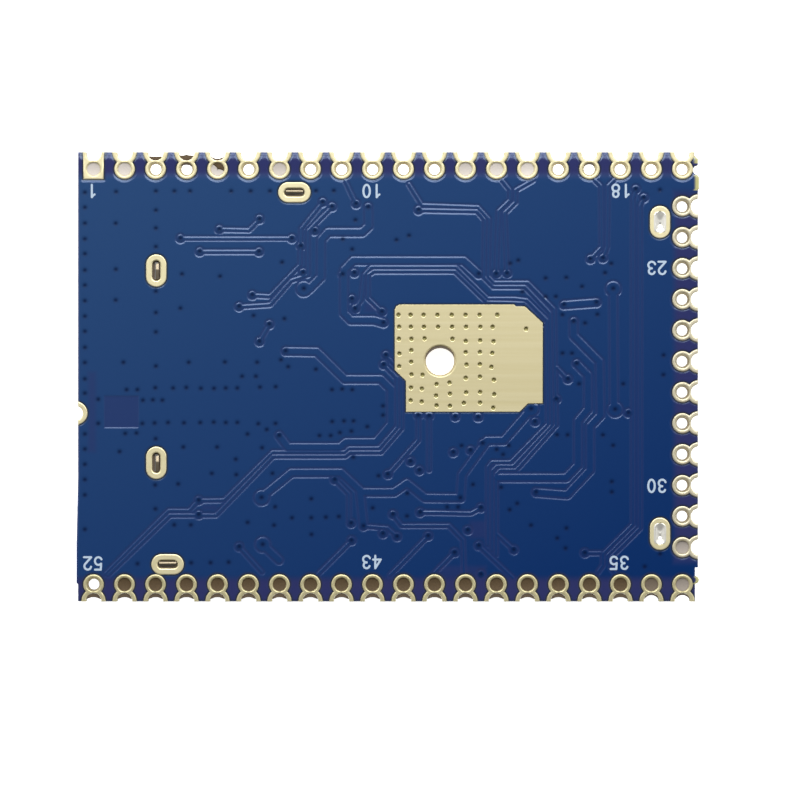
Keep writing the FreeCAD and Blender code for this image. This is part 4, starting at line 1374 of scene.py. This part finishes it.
class MODULE_OT_stage(bpy.types.Operator):
    """Pale floor, soft light and the camera"""

    bl_idname = "module.stage"
    bl_label = "Floor, light and camera"

    def execute(self, context):
        scene, studio = context.scene, context.scene.module_studio
        self.add_floor(scene, studio)
        self.light_room(scene, studio)
        self.add_window(scene, studio)
        camera = bpy.data.cameras.new("camera")
        eye = bpy.data.objects.new("camera", camera)
        scene.collection.objects.link(eye)
        camera.sensor_width = sensor_width
        camera.lens = sensor_width * studio.camera_height / (image_side / photo_scale * MM)
        camera.clip_start, camera.clip_end = 0.01, 10
        eye.location = (*spot(image_side / 2, image_side / 2), board_top + studio.camera_height)
        scene.camera = eye
        scene.view_settings.view_transform = "Standard"
        return {"FINISHED"}

    def add_floor(self, scene, studio):
        """Light table: white paper lit softly from below."""
        floor = bpy.data.meshes.new("floor")
        corners = [(floor_reach * u, floor_reach * v, 0) for u, v in ((-1, -1), (1, -1), (1, 1), (-1, 1))]
        floor.from_pydata(corners, [], [(0, 1, 2, 3)])
        material, tree, shader = new_finish("white_paper")
        fill(tree, shader, {
            "Base Color": (0.93, 0.93, 0.93), "Roughness": 0.9, "Specular IOR Level": 0.1,
            "Emission Color": (1, 1, 1), "Emission Strength": studio.floor_light,
        })
        floor.materials.append(material)
        plane = bpy.data.objects.new("floor", floor)
        scene.collection.objects.link(plane)

    def light_room(self, scene, studio):
        """Light of the room by direction: pale walls, dimmer behind the bottom row and below the
        horizon, and a ceiling with a dark shade round the camera. Eased changes join them."""
        scene.world = scene.world or bpy.data.worlds.new("studio")
        scene.world.use_nodes = True
        tree = scene.world.node_tree
        tree.nodes.clear()
        way = node(tree, "ShaderNodeTexCoord").outputs["Generated"]
        parts = node(tree, "ShaderNodeSeparateXYZ", {"Vector": way}).outputs

        def height(from_zenith):
            """Height part of a direction that lies so many degrees from straight up."""
            return math.cos(math.radians(from_zenith))

        # Name of each change, the part of the direction that it follows, from where to where, and what
        # it joins: a brightness or an earlier change
        changes = (
            ("ceiling", "Z", height(30), height(13), studio.dome_light, studio.zenith_light),
            ("walls", "Y", -0.7, -0.3, studio.front_light, studio.wall_light),
            ("horizon", "Z", -0.1, 0.0, studio.front_light, "walls"),
            ("room", "Z", height(62), height(50), "horizon", "ceiling"),
        )
        light = {}
        for name, axis, start, end, low, high in changes:
            light[name] = node(tree, "ShaderNodeMapRange", {
                "Value": parts[axis], "From Min": start, "From Max": end,
                "To Min": light.get(low, low), "To Max": light.get(high, high),
            }, interpolation_type="SMOOTHSTEP").outputs[0]
        back = node(tree, "ShaderNodeBackground", {"Strength": light["room"]})
        node(tree, "ShaderNodeOutputWorld", {"Surface": back.outputs[0]})

    def add_window(self, scene, studio):
        """Soft box behind the top row, turned towards the board."""
        window = bpy.data.lights.new("window", "AREA")
        window.shape = "RECTANGLE"
        window.size, window.size_y = window_size
        window.energy = studio.window_power
        lamp = bpy.data.objects.new("window", window)
        scene.collection.objects.link(lamp)
        lamp.location = window_place
        lamp.rotation_mode = "QUATERNION"
        lamp.rotation_quaternion = Vector(-lamp.location).to_track_quat("-Z", "Y")


class MODULE_PT_panel(bpy.types.Panel):
    """Sidebar panel with the pieces and their sizes"""

    bl_label = "Wireless network module"
    bl_idname = "MODULE_PT_panel"
    bl_space_type = "VIEW_3D"
    bl_region_type = "UI"
    bl_category = "Module"

    def draw(self, context):
        for group in (context.scene.module_sizes, context.scene.module_colours, context.scene.module_studio):
            for key in group.__annotations__:
                self.layout.prop(group, key)
        for operator in operators:
            self.layout.operator(operator.bl_idname)


operators = [
    MODULE_OT_solder_mask, MODULE_OT_terminals, MODULE_OT_shield_slots, MODULE_OT_heat_land,
    MODULE_OT_figures, MODULE_OT_carried_parts, MODULE_OT_stage,
]
groups = {"module_sizes": ModuleSizes, "module_colours": ModuleColours, "module_studio": ModuleStudio}


def register():
    """Makes the operators, the panel and the settings known."""
    for made in (*groups.values(), *operators, MODULE_PT_panel):
        bpy.utils.register_class(made)
    for key, group in groups.items():
        setattr(bpy.types.Scene, key, PointerProperty(type=group))


def unregister():
    """Takes them away again."""
    for key in groups:
        delattr(bpy.types.Scene, key)
    for made in reversed((*groups.values(), *operators, MODULE_PT_panel)):
        bpy.utils.unregister_class(made)


def main():
    """Builds every piece in order."""
    register()
    for operator in operators:
        call = operator.bl_idname.split(".")[1]
        getattr(bpy.ops.module, call)()


if __name__ == "__main__":
    main()
